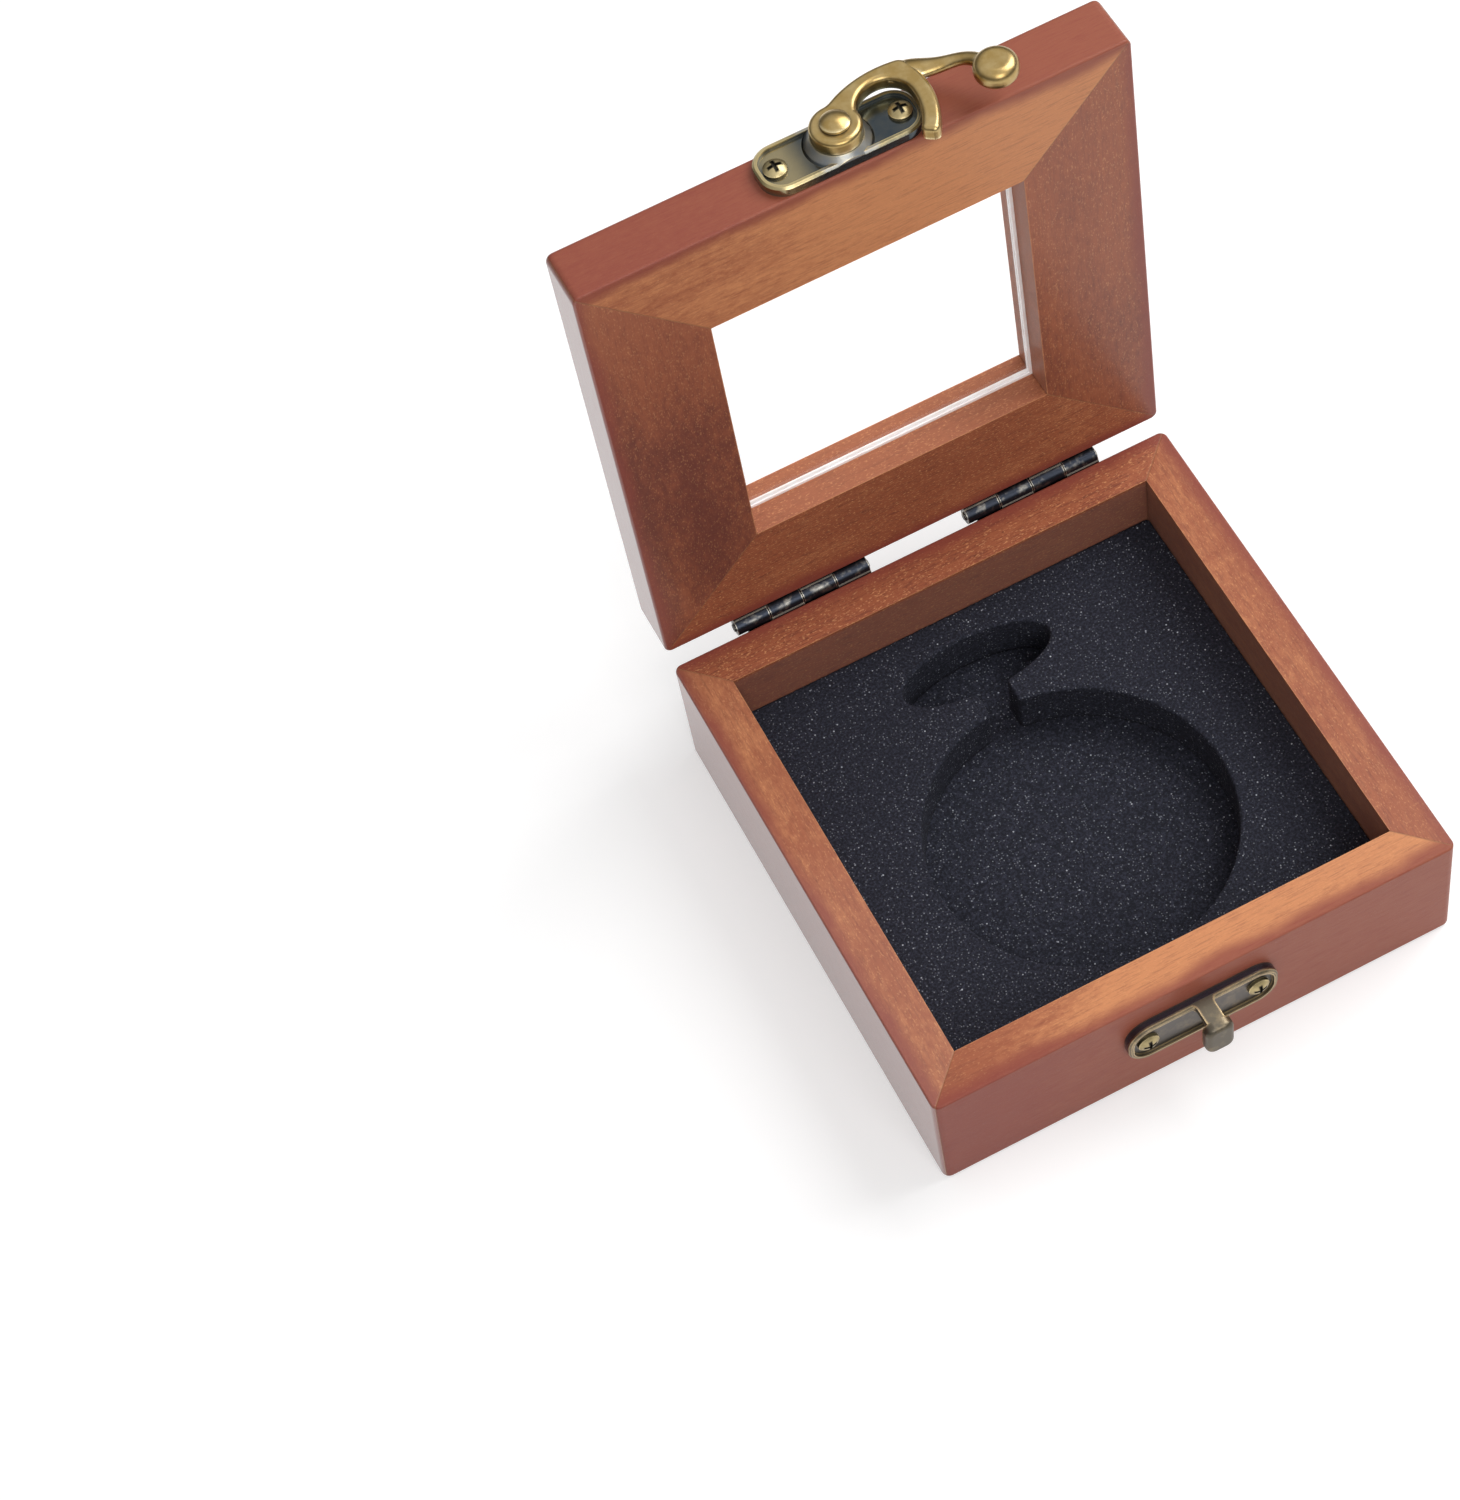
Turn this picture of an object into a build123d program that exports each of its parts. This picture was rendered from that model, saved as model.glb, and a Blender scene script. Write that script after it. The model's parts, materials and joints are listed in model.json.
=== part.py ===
"""Wooden pocket watch display box with a glazed lid, two rear stop hinges and a swing hook latch.

Frame: the origin is the centre of the box's underside, X runs to the right along the front, Y runs to
the back and Z up. Everything is modelled with the lid shut. The lid's pieces and the hook are then
turned about the hinge pins to the open position in which the box is displayed.
Lengths are in millimetres and angles in degrees.
"""

import math
import os

from build123d import *

# ---------------------------------------------------------------- driving dimensions: case
box_width = 90.0
box_depth = 90.0
base_height = 25.0
lid_height = 10.0
joint_gap = 0.2
wall_thickness = 7.3
rail_width = 19.1
corner_radius = 1.3
outer_edge_radius = 0.8
joint_edge_radius = 0.4
lid_open_angle = 92.0

# bottom panel, set in a rebate round the foot of the walls
panel_thickness = 2.5
panel_rebate = 3.0
panel_clearance = 0.1

# foam: a backing pad under a die-cut layer
foam_pad_thickness = 3.2
foam_drop = 10.8
foam_clearance = 0.1
watch_diameter = 49.0
watch_clearance = 0.5
bow_pocket_length = 26.6
bow_pocket_width = 10.4
stem_slot_width = 5.2
stem_slot_length = 4.5

# glass pane, held in a groove round the window by a channel gasket
glass_thickness = 1.2
glass_level = 5.8
glass_grip = 1.8
gasket_wall = 0.25
gasket_lip = 0.5
groove_clearance = 0.03

# ---------------------------------------------------------------- driving dimensions: hinges
hinge_length = 24.0
hinge_spacing = 42.0
hinge_leaf_height = 8.0
hinge_sheet = 0.7
hinge_barrel_radius = 1.45
hinge_barrel_gap = 0.2
hinge_knuckles = 4
knuckle_gap = 0.2
knuckle_relief = 0.3
hinge_pin_radius = 0.75
hinge_pin_overhang = 0.3
pin_clearance = 0.04
leaf_corner_radius = 1.2
stop_lip_clearance = 0.25
stop_lip_sheet = 0.75
stop_lip_inset = 2.0
stop_play = 0.02

# wood screws
screw_hole_clearance = 0.03
screw_tip_length = 1.2
screw_recess_depth = 0.55
screw_recess_width = 0.42
screw_recess_span = 0.58
hinge_screw_inset = 4.5
hinge_screw_height = 5.4
hinge_screw_head_radius = 1.5
hinge_screw_head_height = 0.65
hinge_screw_shank_radius = 0.75
hinge_screw_length = 5.0
hinge_screw_rim = 0.05
hinge_screw_dome = 0.2

# ---------------------------------------------------------------- driving dimensions: latch
latch_plate_length = 26.0
latch_plate_margin = 0.4
latch_plate_thickness = 1.7
latch_plate_flat_end = 1.4
latch_plate_rim = 0.8
latch_plate_recess = 0.6
latch_plate_bevel = 0.35
latch_screw_spacing = 20.2
catch_screw_spacing = 19.2
latch_screw_head_radius = 1.8
latch_screw_head_height = 0.8
latch_screw_shank_radius = 0.85
latch_screw_length = 6.2
latch_screw_rim = 0.5
latch_screw_dome = 0.7
latch_boss_radius = 5.3
latch_boss_slope = 1.3
hook_float = 0.1

rivet_shank_radius = 1.3
rivet_head_radius = 2.25
rivet_head_height = 1.2
rivet_flange_radius = 2.1
rivet_flange_height = 0.6
rivet_clearance = 0.05

hook_clearance = 0.3
hook_thickness = 2.3
hook_edge_radius = 0.8
hook_ring_radius = 3.95
hook_mouth_radius = 4.0
hook_mouth_angle = 1.0
hook_mouth_side_radius = 4.7
hook_back_radius = 13.7
hook_back_centre = (8.5, -7.12)
hook_back_start_angle = 128.0
hook_prong_inner_radius = 12.35
hook_prong_width = 2.75
hook_prong_end_angle = -37.0
hook_prong_top_angle = 24.0
hook_crook_radius = 3.0
hook_shoulder_radius = 2.0
hook_tip_radius = 0.9
hook_swing_angle = 80.0

# the hook's tail: (along, up, lift off the hook's middle, half width, half thickness) at each station
hook_tail_stations = (
    (10.6, 4.9, 0.00, 1.40, 1.05),
    (13.2, 4.3, 0.00, 1.95, 1.10),
    (15.6, 3.4, 0.05, 1.75, 1.10),
    (17.7, 2.5, 0.25, 1.35, 1.05),
    (19.7, 1.6, 0.80, 1.10, 0.95),
    (21.6, 0.1, 1.60, 1.05, 0.95),
    (22.9, -2.3, 2.20, 1.30, 1.20),
)
hook_knob_radius = 3.4
hook_knob_half_thickness = 1.8
hook_knob_centre = (23.8, -4.3, 2.45)
hook_knob_edge_radius = 1.6

keeper_clearance = 0.3
keeper_head_gap = 0.3
keeper_neck_height = 1.5
keeper_neck_width = 3.0
keeper_head_width = 4.8
keeper_head_height = 7.1
keeper_head_thickness = 1.8
keeper_head_corner = 1.6
keeper_head_edge = 0.9

# ---------------------------------------------------------------- sizes worked out from those above
inner_width = box_width - 2 * wall_thickness
inner_depth = box_depth - 2 * wall_thickness
window_width = box_width - 2 * rail_width
window_depth = box_depth - 2 * rail_width
lid_bottom = base_height + joint_gap
lid_top = lid_bottom + lid_height
foam_top = base_height - foam_drop
foam_pad_top = panel_thickness + foam_pad_thickness
pocket_radius = watch_diameter / 2 + watch_clearance
cut_length = 2 * pocket_radius + stem_slot_length + bow_pocket_width
pocket_y = pocket_radius - cut_length / 2
bow_pocket_y = (cut_length - bow_pocket_width) / 2

gasket_height = glass_thickness + 2 * gasket_wall
groove_height = gasket_height + 2 * groove_clearance
groove_depth = glass_grip + gasket_wall + groove_clearance
glass_z = lid_bottom + glass_level

hinge_axis_offset = hinge_barrel_radius + hinge_barrel_gap
hinge_axis_y = box_depth / 2 + hinge_axis_offset
hinge_axis_z = base_height + joint_gap / 2
hinge_centres = (-hinge_spacing / 2, hinge_spacing / 2)
knuckle_pitch = hinge_length / hinge_knuckles
leaf_inner = -hinge_axis_offset
leaf_outer = leaf_inner + hinge_sheet
hinge_screw_spacing = hinge_length - 2 * hinge_screw_inset
stop_lip_level = hinge_barrel_radius + knuckle_relief + stop_lip_clearance
stop_lip_length = hinge_length - 2 * stop_lip_inset

front_y = -box_depth / 2
latch_plate_height = lid_height - 2 * latch_plate_margin
latch_plate_corner = (latch_plate_height - latch_plate_flat_end) / 2
latch_field = latch_plate_thickness - latch_plate_recess
latch_screw_top = latch_field + latch_screw_rim + latch_screw_dome
latch_z = lid_bottom + lid_height / 2
hook_underside = latch_screw_top + hook_clearance
hook_middle = hook_underside + hook_thickness / 2
hook_top = hook_underside + hook_thickness
hook_prong_outer_radius = hook_prong_inner_radius + hook_prong_width
keeper_corner_radius = hook_prong_inner_radius - keeper_clearance
keeper_neck_bottom = latch_z - math.sqrt(keeper_corner_radius**2 - (keeper_neck_width / 2) ** 2)
catch_plate_top = keeper_neck_bottom + keeper_neck_height
catch_z = catch_plate_top - latch_plate_height / 2
keeper_flare = hook_underside - latch_field - keeper_clearance
keeper_head_back = hook_top + keeper_head_gap
keeper_head_front = keeper_head_back + keeper_head_thickness

# long enough to cut clean through any piece of the box
THROUGH = 4 * max(box_width, box_depth, base_height + lid_height)


# ---------------------------------------------------------------- placing helpers
def slab(x_range, y_range, z_range):
    """A box given by its lowest and highest X, Y and Z."""
    ranges = (x_range, y_range, z_range)
    sizes = [high - low for low, high in ranges]
    middles = [(high + low) / 2 for low, high in ranges]
    return Pos(*middles) * Box(*sizes)


def front_face(z, x=0.0):
    """A plane on the front of the box at height z, its X to the right, its Y up and its Z outwards."""
    return Plane(origin=(x, front_y, z), x_dir=(1, 0, 0), z_dir=(0, -1, 0))


def back_face(z, x=0.0):
    """A plane on the back of the box at height z, its X to the left, its Y up and its Z outwards."""
    return Plane(origin=(x, box_depth / 2, z), x_dir=(-1, 0, 0), z_dir=(0, 1, 0))


def opened(shape):
    """The shape turned with the lid about the hinge pins, from shut to fully open."""
    to_axis = Pos(0, hinge_axis_y, hinge_axis_z)
    return to_axis * Rot(-lid_open_angle, 0, 0) * to_axis.inverse() * shape


def together(shapes):
    """Separate solids kept side by side in one node."""
    return Compound(children=list(shapes))


# ---------------------------------------------------------------- mitred frames
def mitre_prism(side, width, depth, member, z_range):
    """The space that one member of a mitred frame may fill: a trapezium in plan, cut at 45 degrees."""
    half_w = width / 2
    half_d = depth / 2
    corners = {
        "front": [(-half_w, -half_d), (half_w, -half_d)],
        "back": [(half_w, half_d), (-half_w, half_d)],
        "left": [(-half_w, half_d), (-half_w, -half_d)],
        "right": [(half_w, -half_d), (half_w, half_d)],
    }[side]

    def inward(point):
        x, y = point
        return (x - math.copysign(member, x), y - math.copysign(member, y))

    outline = corners + [inward(corners[1]), inward(corners[0])]
    low, high = z_range
    return Pos(0, 0, low) * extrude(make_face(Polyline(*outline, close=True)), high - low)


def rounded_ring(width, depth, member, z_range, radii):
    """A square-cut frame with rounded outer corners; radii are those of its lower and upper edges."""
    low, high = z_range
    lower_radius, upper_radius = radii
    body = slab((-width / 2, width / 2), (-depth / 2, depth / 2), z_range)
    body = fillet(body.edges().filter_by(Axis.Z), corner_radius)
    body = fillet(body.edges().group_by(Axis.Z)[-1], upper_radius)
    body = fillet(body.edges().group_by(Axis.Z)[0], lower_radius)
    hole_x = width / 2 - member
    hole_y = depth / 2 - member
    return body - slab((-hole_x, hole_x), (-hole_y, hole_y), (low - 1, high + 1))


def split_at_mitres(ring, width, depth, member, z_range, name):
    """The four members of a frame, each a solid of its own."""
    members = {}
    for side in ("front", "back", "left", "right"):
        prism = mitre_prism(side, width, depth, member, z_range)
        members[name.format(side)] = ring & prism
    return members


def dome_arc(rim_radius, rim_z, top_z):
    """The arc of a shallow dome in half section, level where it meets the axis at the top."""
    rise = top_z - rim_z
    radius = (rim_radius**2 + rise**2) / (2 * rise)
    middle = rim_radius / 2
    middle_z = top_z - radius + math.sqrt(radius**2 - middle**2)
    return ThreePointArc((rim_radius, rim_z), (middle, middle_z), (0, top_z))


# ---------------------------------------------------------------- screws
def wood_screw(head_radius, head_height, rim, dome, shank_radius, length):
    """A cross-recess wood screw: its axis is Z, and its head widens to full size in the XY plane.

    Above that plane the head has a short straight rim and then a dome.
    """
    tip_start = screw_tip_length - length
    top = rim + dome
    profile = Polyline(
        (0, top),
        (0, -length),
        (shank_radius, tip_start),
        (shank_radius, -head_height),
        (head_radius, 0),
        (head_radius, rim),
    )
    crown = dome_arc(head_radius, rim, top)
    body = revolve(Plane.XZ * make_face([*profile.edges(), crown]), Axis.Z)
    half_arm = screw_recess_span * head_radius
    half_width = screw_recess_width / 2
    blade = slab((-half_arm, half_arm), (-half_width, half_width), (top - screw_recess_depth, top))
    return body - blade - Rot(0, 0, 90) * blade


def screw_hole(head_radius, head_height, shank_radius, length):
    """The countersunk hole for such a screw, cut a little past its tip and up past its rim."""
    pilot = shank_radius + screw_hole_clearance
    mouth = head_radius + screw_hole_clearance
    depth = length + screw_hole_clearance
    sink = Pos(0, 0, -head_height / 2) * Cone(pilot, mouth, head_height)
    above = Pos(0, 0, head_height) * Cylinder(mouth, 2 * head_height)
    return sink + above + Pos(0, 0, -depth / 2) * Cylinder(pilot, depth)


def hinge_screw():
    return wood_screw(
        hinge_screw_head_radius,
        hinge_screw_head_height,
        hinge_screw_rim,
        hinge_screw_dome,
        hinge_screw_shank_radius,
        hinge_screw_length,
    )


def hinge_screw_hole():
    return screw_hole(
        hinge_screw_head_radius, hinge_screw_head_height, hinge_screw_shank_radius, hinge_screw_length
    )


def latch_screw():
    return wood_screw(
        latch_screw_head_radius,
        latch_screw_head_height,
        latch_screw_rim,
        latch_screw_dome,
        latch_screw_shank_radius,
        latch_screw_length,
    )


def latch_screw_hole():
    return screw_hole(
        latch_screw_head_radius, latch_screw_head_height, latch_screw_shank_radius, latch_screw_length
    )


def hinge_screw_places(side):
    """Where the hinge screws of one leaf level go: side is 1 for the lid and -1 for the base."""
    level = hinge_axis_z + side * hinge_screw_height
    places = []
    for centre in hinge_centres:
        for step in (-0.5, 0.5):
            face = back_face(level, centre + step * hinge_screw_spacing)
            places.append(face * Pos(0, 0, hinge_sheet))
    return places


def latch_screw_places(level, spacing):
    """Where the two screws of a latch or catch plate go."""
    return [front_face(level, step * spacing) * Pos(0, 0, latch_field) for step in (-0.5, 0.5)]


# ---------------------------------------------------------------- base
def base_walls():
    """Four mitred walls with a rebate for the bottom panel and pilot holes for the screws."""
    heights = (0, base_height)
    ring = rounded_ring(
        box_width, box_depth, wall_thickness, heights, (outer_edge_radius, joint_edge_radius)
    )
    rebate_x = inner_width / 2 + panel_rebate
    rebate_y = inner_depth / 2 + panel_rebate
    ring -= slab((-rebate_x, rebate_x), (-rebate_y, rebate_y), (-1, panel_thickness))
    for place in hinge_screw_places(-1):
        ring -= place * hinge_screw_hole()
    for place in latch_screw_places(catch_z, catch_screw_spacing):
        ring -= place * latch_screw_hole()
    return split_at_mitres(ring, box_width, box_depth, wall_thickness, heights, "base_{}_wall")


def bottom_panel():
    half_x = inner_width / 2 + panel_rebate - panel_clearance
    half_y = inner_depth / 2 + panel_rebate - panel_clearance
    return slab((-half_x, half_x), (-half_y, half_y), (0, panel_thickness))


def foam_block(z_range):
    half_x = inner_width / 2 - foam_clearance
    half_y = inner_depth / 2 - foam_clearance
    return slab((-half_x, half_x), (-half_y, half_y), z_range)


def foam_insert():
    """The die-cut layer: a round pocket for the watch, a slot for its stem and an oblong for its bow."""
    height = foam_top - foam_pad_top
    watch = Pos(0, pocket_y) * Circle(pocket_radius)
    bow = Pos(0, bow_pocket_y) * Ellipse(bow_pocket_length / 2, bow_pocket_width / 2)
    stem = Pos(0, (pocket_y + bow_pocket_y) / 2) * Rectangle(stem_slot_width, bow_pocket_y - pocket_y)
    cut = Pos(0, 0, foam_pad_top) * extrude(watch + bow + stem, height)
    return foam_block((foam_pad_top, foam_top)) - cut


# ---------------------------------------------------------------- lid
def lid_rails():
    """Four wide mitred rails, grooved round the window for the glass and its gasket."""
    heights = (lid_bottom, lid_top)
    ring = rounded_ring(
        box_width, box_depth, rail_width, heights, (joint_edge_radius, outer_edge_radius)
    )
    groove_x = window_width / 2 + groove_depth
    groove_y = window_depth / 2 + groove_depth
    groove_z = (glass_z - groove_height / 2, glass_z + groove_height / 2)
    ring -= slab((-groove_x, groove_x), (-groove_y, groove_y), groove_z)
    for place in hinge_screw_places(1):
        ring -= place * hinge_screw_hole()
    for place in latch_screw_places(latch_z, latch_screw_spacing):
        ring -= place * latch_screw_hole()
    return split_at_mitres(ring, box_width, box_depth, rail_width, heights, "lid_{}_rail")


def glass_pane():
    half_x = window_width / 2 + glass_grip
    half_y = window_depth / 2 + glass_grip
    levels = (glass_z - glass_thickness / 2, glass_z + glass_thickness / 2)
    return slab((-half_x, half_x), (-half_y, half_y), levels)


def window_gasket():
    """A channel round the edge of the glass, its two lips just showing inside the window."""
    outer_x = window_width / 2 + glass_grip + gasket_wall
    outer_y = window_depth / 2 + glass_grip + gasket_wall
    inner_x = window_width / 2 - gasket_lip
    inner_y = window_depth / 2 - gasket_lip
    levels = (glass_z - gasket_height / 2, glass_z + gasket_height / 2)
    ring = slab((-outer_x, outer_x), (-outer_y, outer_y), levels)
    ring -= slab((-inner_x, inner_x), (-inner_y, inner_y), levels)
    return ring - glass_pane()


# ---------------------------------------------------------------- hinges
def knuckle_span(index):
    """The lowest and highest X of one knuckle, measured from the hinge's middle."""
    start = index * knuckle_pitch - hinge_length / 2
    first = 0 if index == 0 else knuckle_gap / 2
    last = 0 if index == hinge_knuckles - 1 else knuckle_gap / 2
    return (start + first, start + knuckle_pitch - last)


def barrel(radius, x_range):
    """A cylinder on the hinge's axis between two X values."""
    low, high = x_range
    return Pos((low + high) / 2, 0, 0) * Rot(0, 90, 0) * Cylinder(radius, high - low)


def hinge_leaf(side):
    """One leaf about its own axis, shut: side is 1 for the lid's leaf and -1 for the base's.

    The lid's leaf takes the even knuckles and the base's leaf the odd ones. A lip bent out of each
    leaf ends on the plane that halves the opening angle, so the two lips meet and stop the lid.
    """
    far = side * hinge_leaf_height
    edge_z = (min(0, far), max(0, far))
    half_length = hinge_length / 2
    leaf = slab((-half_length, half_length), (leaf_inner, leaf_outer), edge_z)
    far_edges = leaf.edges().filter_by(Axis.Y).group_by(Axis.Z)[-1 if side > 0 else 0]
    leaf = fillet(far_edges, leaf_corner_radius)

    own = 0 if side > 0 else 1
    for index in range(hinge_knuckles):
        low, high = knuckle_span(index)
        if index % 2 == own:
            leaf += barrel(hinge_barrel_radius, (low, high))
        else:
            reach = (low - knuckle_gap, high + knuckle_gap)
            leaf -= barrel(hinge_barrel_radius + knuckle_relief, reach)

    half_angle = math.radians(lid_open_angle / 2)
    lip_levels = (stop_lip_level, stop_lip_level + stop_lip_sheet)
    lip_ends = [level / math.tan(half_angle) - stop_play for level in lip_levels]
    lip_profile = [
        (leaf_inner + hinge_sheet / 2, side * lip_levels[0]),
        (lip_ends[0], side * lip_levels[0]),
        (lip_ends[1], side * lip_levels[1]),
        (leaf_inner + hinge_sheet / 2, side * lip_levels[1]),
    ]
    section = Plane.YZ * make_face(Polyline(*lip_profile, close=True))
    leaf += extrude(section, stop_lip_length / 2, both=True)
    return leaf - barrel(hinge_pin_radius + pin_clearance, (-hinge_length, hinge_length))


def hinge_leaves(side):
    """The two leaves of one level, each with its countersunk screw holes."""
    leaves = []
    for centre in hinge_centres:
        leaf = Pos(centre, hinge_axis_y, hinge_axis_z) * hinge_leaf(side)
        for place in hinge_screw_places(side):
            leaf -= place * hinge_screw_hole()
        leaves.append(leaf)
    return leaves


def hinge_pin(centre):
    reach = hinge_length / 2 + hinge_pin_overhang
    pin = Rot(0, 90, 0) * Cylinder(hinge_pin_radius, 2 * reach)
    pin = chamfer(pin.edges().filter_by(GeomType.CIRCLE), hinge_pin_overhang / 2)
    return Pos(centre, hinge_axis_y, hinge_axis_z) * pin


# ---------------------------------------------------------------- latch
def latch_plate_blank():
    """A cast plate with round ends, a raised rim and a sunk field; its back lies in the XY plane."""
    rim = latch_plate_rim
    outline = RectangleRounded(latch_plate_length, latch_plate_height, latch_plate_corner)
    field = RectangleRounded(
        latch_plate_length - 2 * rim, latch_plate_height - 2 * rim, latch_plate_corner - rim
    )
    blank = extrude(outline, latch_plate_thickness)
    blank = chamfer(blank.edges().group_by(Axis.Z)[-1], latch_plate_bevel)
    return blank - Pos(0, 0, latch_field) * extrude(field, latch_plate_recess)


def drilled(plate, spacing):
    """The plate with its two countersunk screw holes, which sit in the sunk field."""
    for step in (-0.5, 0.5):
        plate -= Pos(step * spacing, 0, latch_field) * latch_screw_hole()
    return plate


def latch_plate():
    """The lid's plate, with a low round boss under the hook and a hole for the rivet."""
    boss_height = hook_underside - hook_float - latch_field
    boss_top = latch_boss_radius - latch_boss_slope
    boss = Pos(0, 0, latch_field + boss_height / 2) * Cone(latch_boss_radius, boss_top, boss_height)
    outline = RectangleRounded(latch_plate_length, latch_plate_height, latch_plate_corner)
    plate = latch_plate_blank() + (boss & extrude(outline, hook_underside))
    plate -= Cylinder(rivet_shank_radius + rivet_clearance, THROUGH)
    flange = rivet_flange_height + rivet_clearance
    plate -= Pos(0, 0, flange / 2) * Cylinder(rivet_flange_radius + rivet_clearance, flange)
    return front_face(latch_z) * drilled(plate, latch_screw_spacing)


def latch_rivet():
    """The hook's pivot: a flange behind the plate, a shank and a domed head."""
    head_base = hook_top + hook_float
    head_top = head_base + rivet_head_height
    shoulder = head_base + rivet_head_height / 3
    profile = Polyline(
        (0, head_top),
        (0, 0),
        (rivet_flange_radius, 0),
        (rivet_flange_radius, rivet_flange_height),
        (rivet_shank_radius, rivet_flange_height),
        (rivet_shank_radius, head_base),
        (rivet_head_radius, head_base),
        (rivet_head_radius, shoulder),
    )
    crown = dome_arc(rivet_head_radius, shoulder, head_top)
    rivet = revolve(Plane.XZ * make_face([*profile.edges(), crown]), Axis.Z)
    return front_face(latch_z) * rivet


def polar(radius, angle, centre=(0.0, 0.0)):
    """The point at a radius and an angle in degrees from a centre."""
    turn = math.radians(angle)
    return (centre[0] + radius * math.cos(turn), centre[1] + radius * math.sin(turn))


def hook_outline():
    """The flat of the hook round its pivot at the origin, swung clear: ring, back, prong and mouth."""
    prong_mid = (hook_prong_top_angle + hook_prong_end_angle) / 2
    back_start = polar(hook_back_radius, hook_back_start_angle, hook_back_centre)
    back_top = polar(hook_back_radius, 90, hook_back_centre)
    prong_top = polar(hook_prong_outer_radius, hook_prong_top_angle)
    prong_side = polar(hook_prong_outer_radius, prong_mid)
    tip_outer = polar(hook_prong_outer_radius, hook_prong_end_angle)
    tip_inner = polar(hook_prong_inner_radius, hook_prong_end_angle)
    prong_inner_side = polar(hook_prong_inner_radius, (hook_mouth_angle + hook_prong_end_angle) / 2)
    mouth_centre = polar(hook_prong_inner_radius - hook_mouth_radius, hook_mouth_angle)
    mouth_right = polar(hook_mouth_radius, hook_mouth_angle, mouth_centre)
    mouth_bend = polar(hook_mouth_radius, 45, mouth_centre)
    mouth_top = polar(hook_mouth_radius, 90, mouth_centre)
    side_centre = polar(hook_mouth_side_radius, -90, mouth_top)
    mouth_side = polar(hook_mouth_side_radius, 135, side_centre)
    mouth_left = polar(hook_mouth_side_radius, 180, side_centre)
    arm = make_face(
        [
            ThreePointArc(back_start, back_top, prong_top),
            ThreePointArc(prong_top, prong_side, tip_outer),
            Line(tip_outer, tip_inner),
            ThreePointArc(tip_inner, prong_inner_side, mouth_right),
            ThreePointArc(mouth_right, mouth_bend, mouth_top),
            ThreePointArc(mouth_top, mouth_side, mouth_left),
            Line(mouth_left, (0, 0)),
            Line((0, 0), back_start),
        ]
    )
    outline = Circle(hook_ring_radius) + arm
    crook = polar(hook_ring_radius, 90)
    outline = fillet(outline.vertices().sort_by_distance(crook)[0], hook_crook_radius)
    outline = fillet(outline.vertices().sort_by_distance(prong_top)[0], hook_shoulder_radius)
    for tip in (tip_outer, tip_inner):
        outline = fillet(outline.vertices().sort_by_distance(tip)[0], hook_tip_radius)
    return outline


def hook_tail():
    """The tail: ellipses carried along a curve that leaves the back of the hook and bends outwards."""
    sections = []
    last = len(hook_tail_stations) - 1
    for index, (along, up, lift, half_width, half_thickness) in enumerate(hook_tail_stations):
        before = hook_tail_stations[max(index - 1, 0)]
        after = hook_tail_stations[min(index + 1, last)]
        heading = Vector(after[0] - before[0], after[1] - before[1], after[2] - before[2])
        sideways = Vector(-heading.Y, heading.X, 0)
        plane = Plane(origin=(along, up, hook_middle + lift), x_dir=sideways, z_dir=heading)
        sections.append(plane * Ellipse(half_width, half_thickness))
    return loft(sections)


def hook_knob():
    """A thick round button with well rounded edges, for the thumb."""
    button = Cylinder(hook_knob_radius, 2 * hook_knob_half_thickness)
    button = fillet(button.edges().filter_by(GeomType.CIRCLE), hook_knob_edge_radius)
    along, up, lift = hook_knob_centre
    return Pos(along, up, hook_middle + lift) * button


def latch_hook():
    flat = extrude(hook_outline(), hook_thickness)
    flat = fillet(flat.edges().group_by(Axis.Z)[-1], hook_edge_radius)
    hook = Pos(0, 0, hook_underside) * flat + hook_tail() + hook_knob()
    hook -= Cylinder(rivet_shank_radius + rivet_clearance, THROUGH)
    return front_face(latch_z) * hook


def catch_plate():
    """The base's plate, with a keeper: a neck that flares at its root and a head bent down from it."""
    plate = latch_plate_blank()
    neck_low = keeper_neck_bottom - catch_z
    neck_high = catch_plate_top - catch_z
    half_neck = keeper_neck_width / 2
    half_root = half_neck + keeper_flare
    flare_top = latch_field + keeper_flare
    root = slab((-half_root, half_root), (neck_low, neck_high), (0, flare_top))
    for side in (-1, 1):
        root -= Pos(side * half_root, 0, flare_top) * Rot(90, 0, 0) * Cylinder(keeper_flare, THROUGH)
    neck = root + slab((-half_neck, half_neck), (neck_low, neck_high), (0, keeper_head_back))
    head_low = neck_high - keeper_head_height
    half_head = keeper_head_width / 2
    head = slab((-half_head, half_head), (head_low, neck_high), (keeper_head_back, keeper_head_front))
    head = fillet(head.edges().filter_by(Axis.Z), keeper_head_corner)
    head = fillet(head.edges().group_by(Axis.Z)[-1], keeper_head_edge)
    return front_face(catch_z) * drilled(plate + neck + head, catch_screw_spacing)


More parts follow.
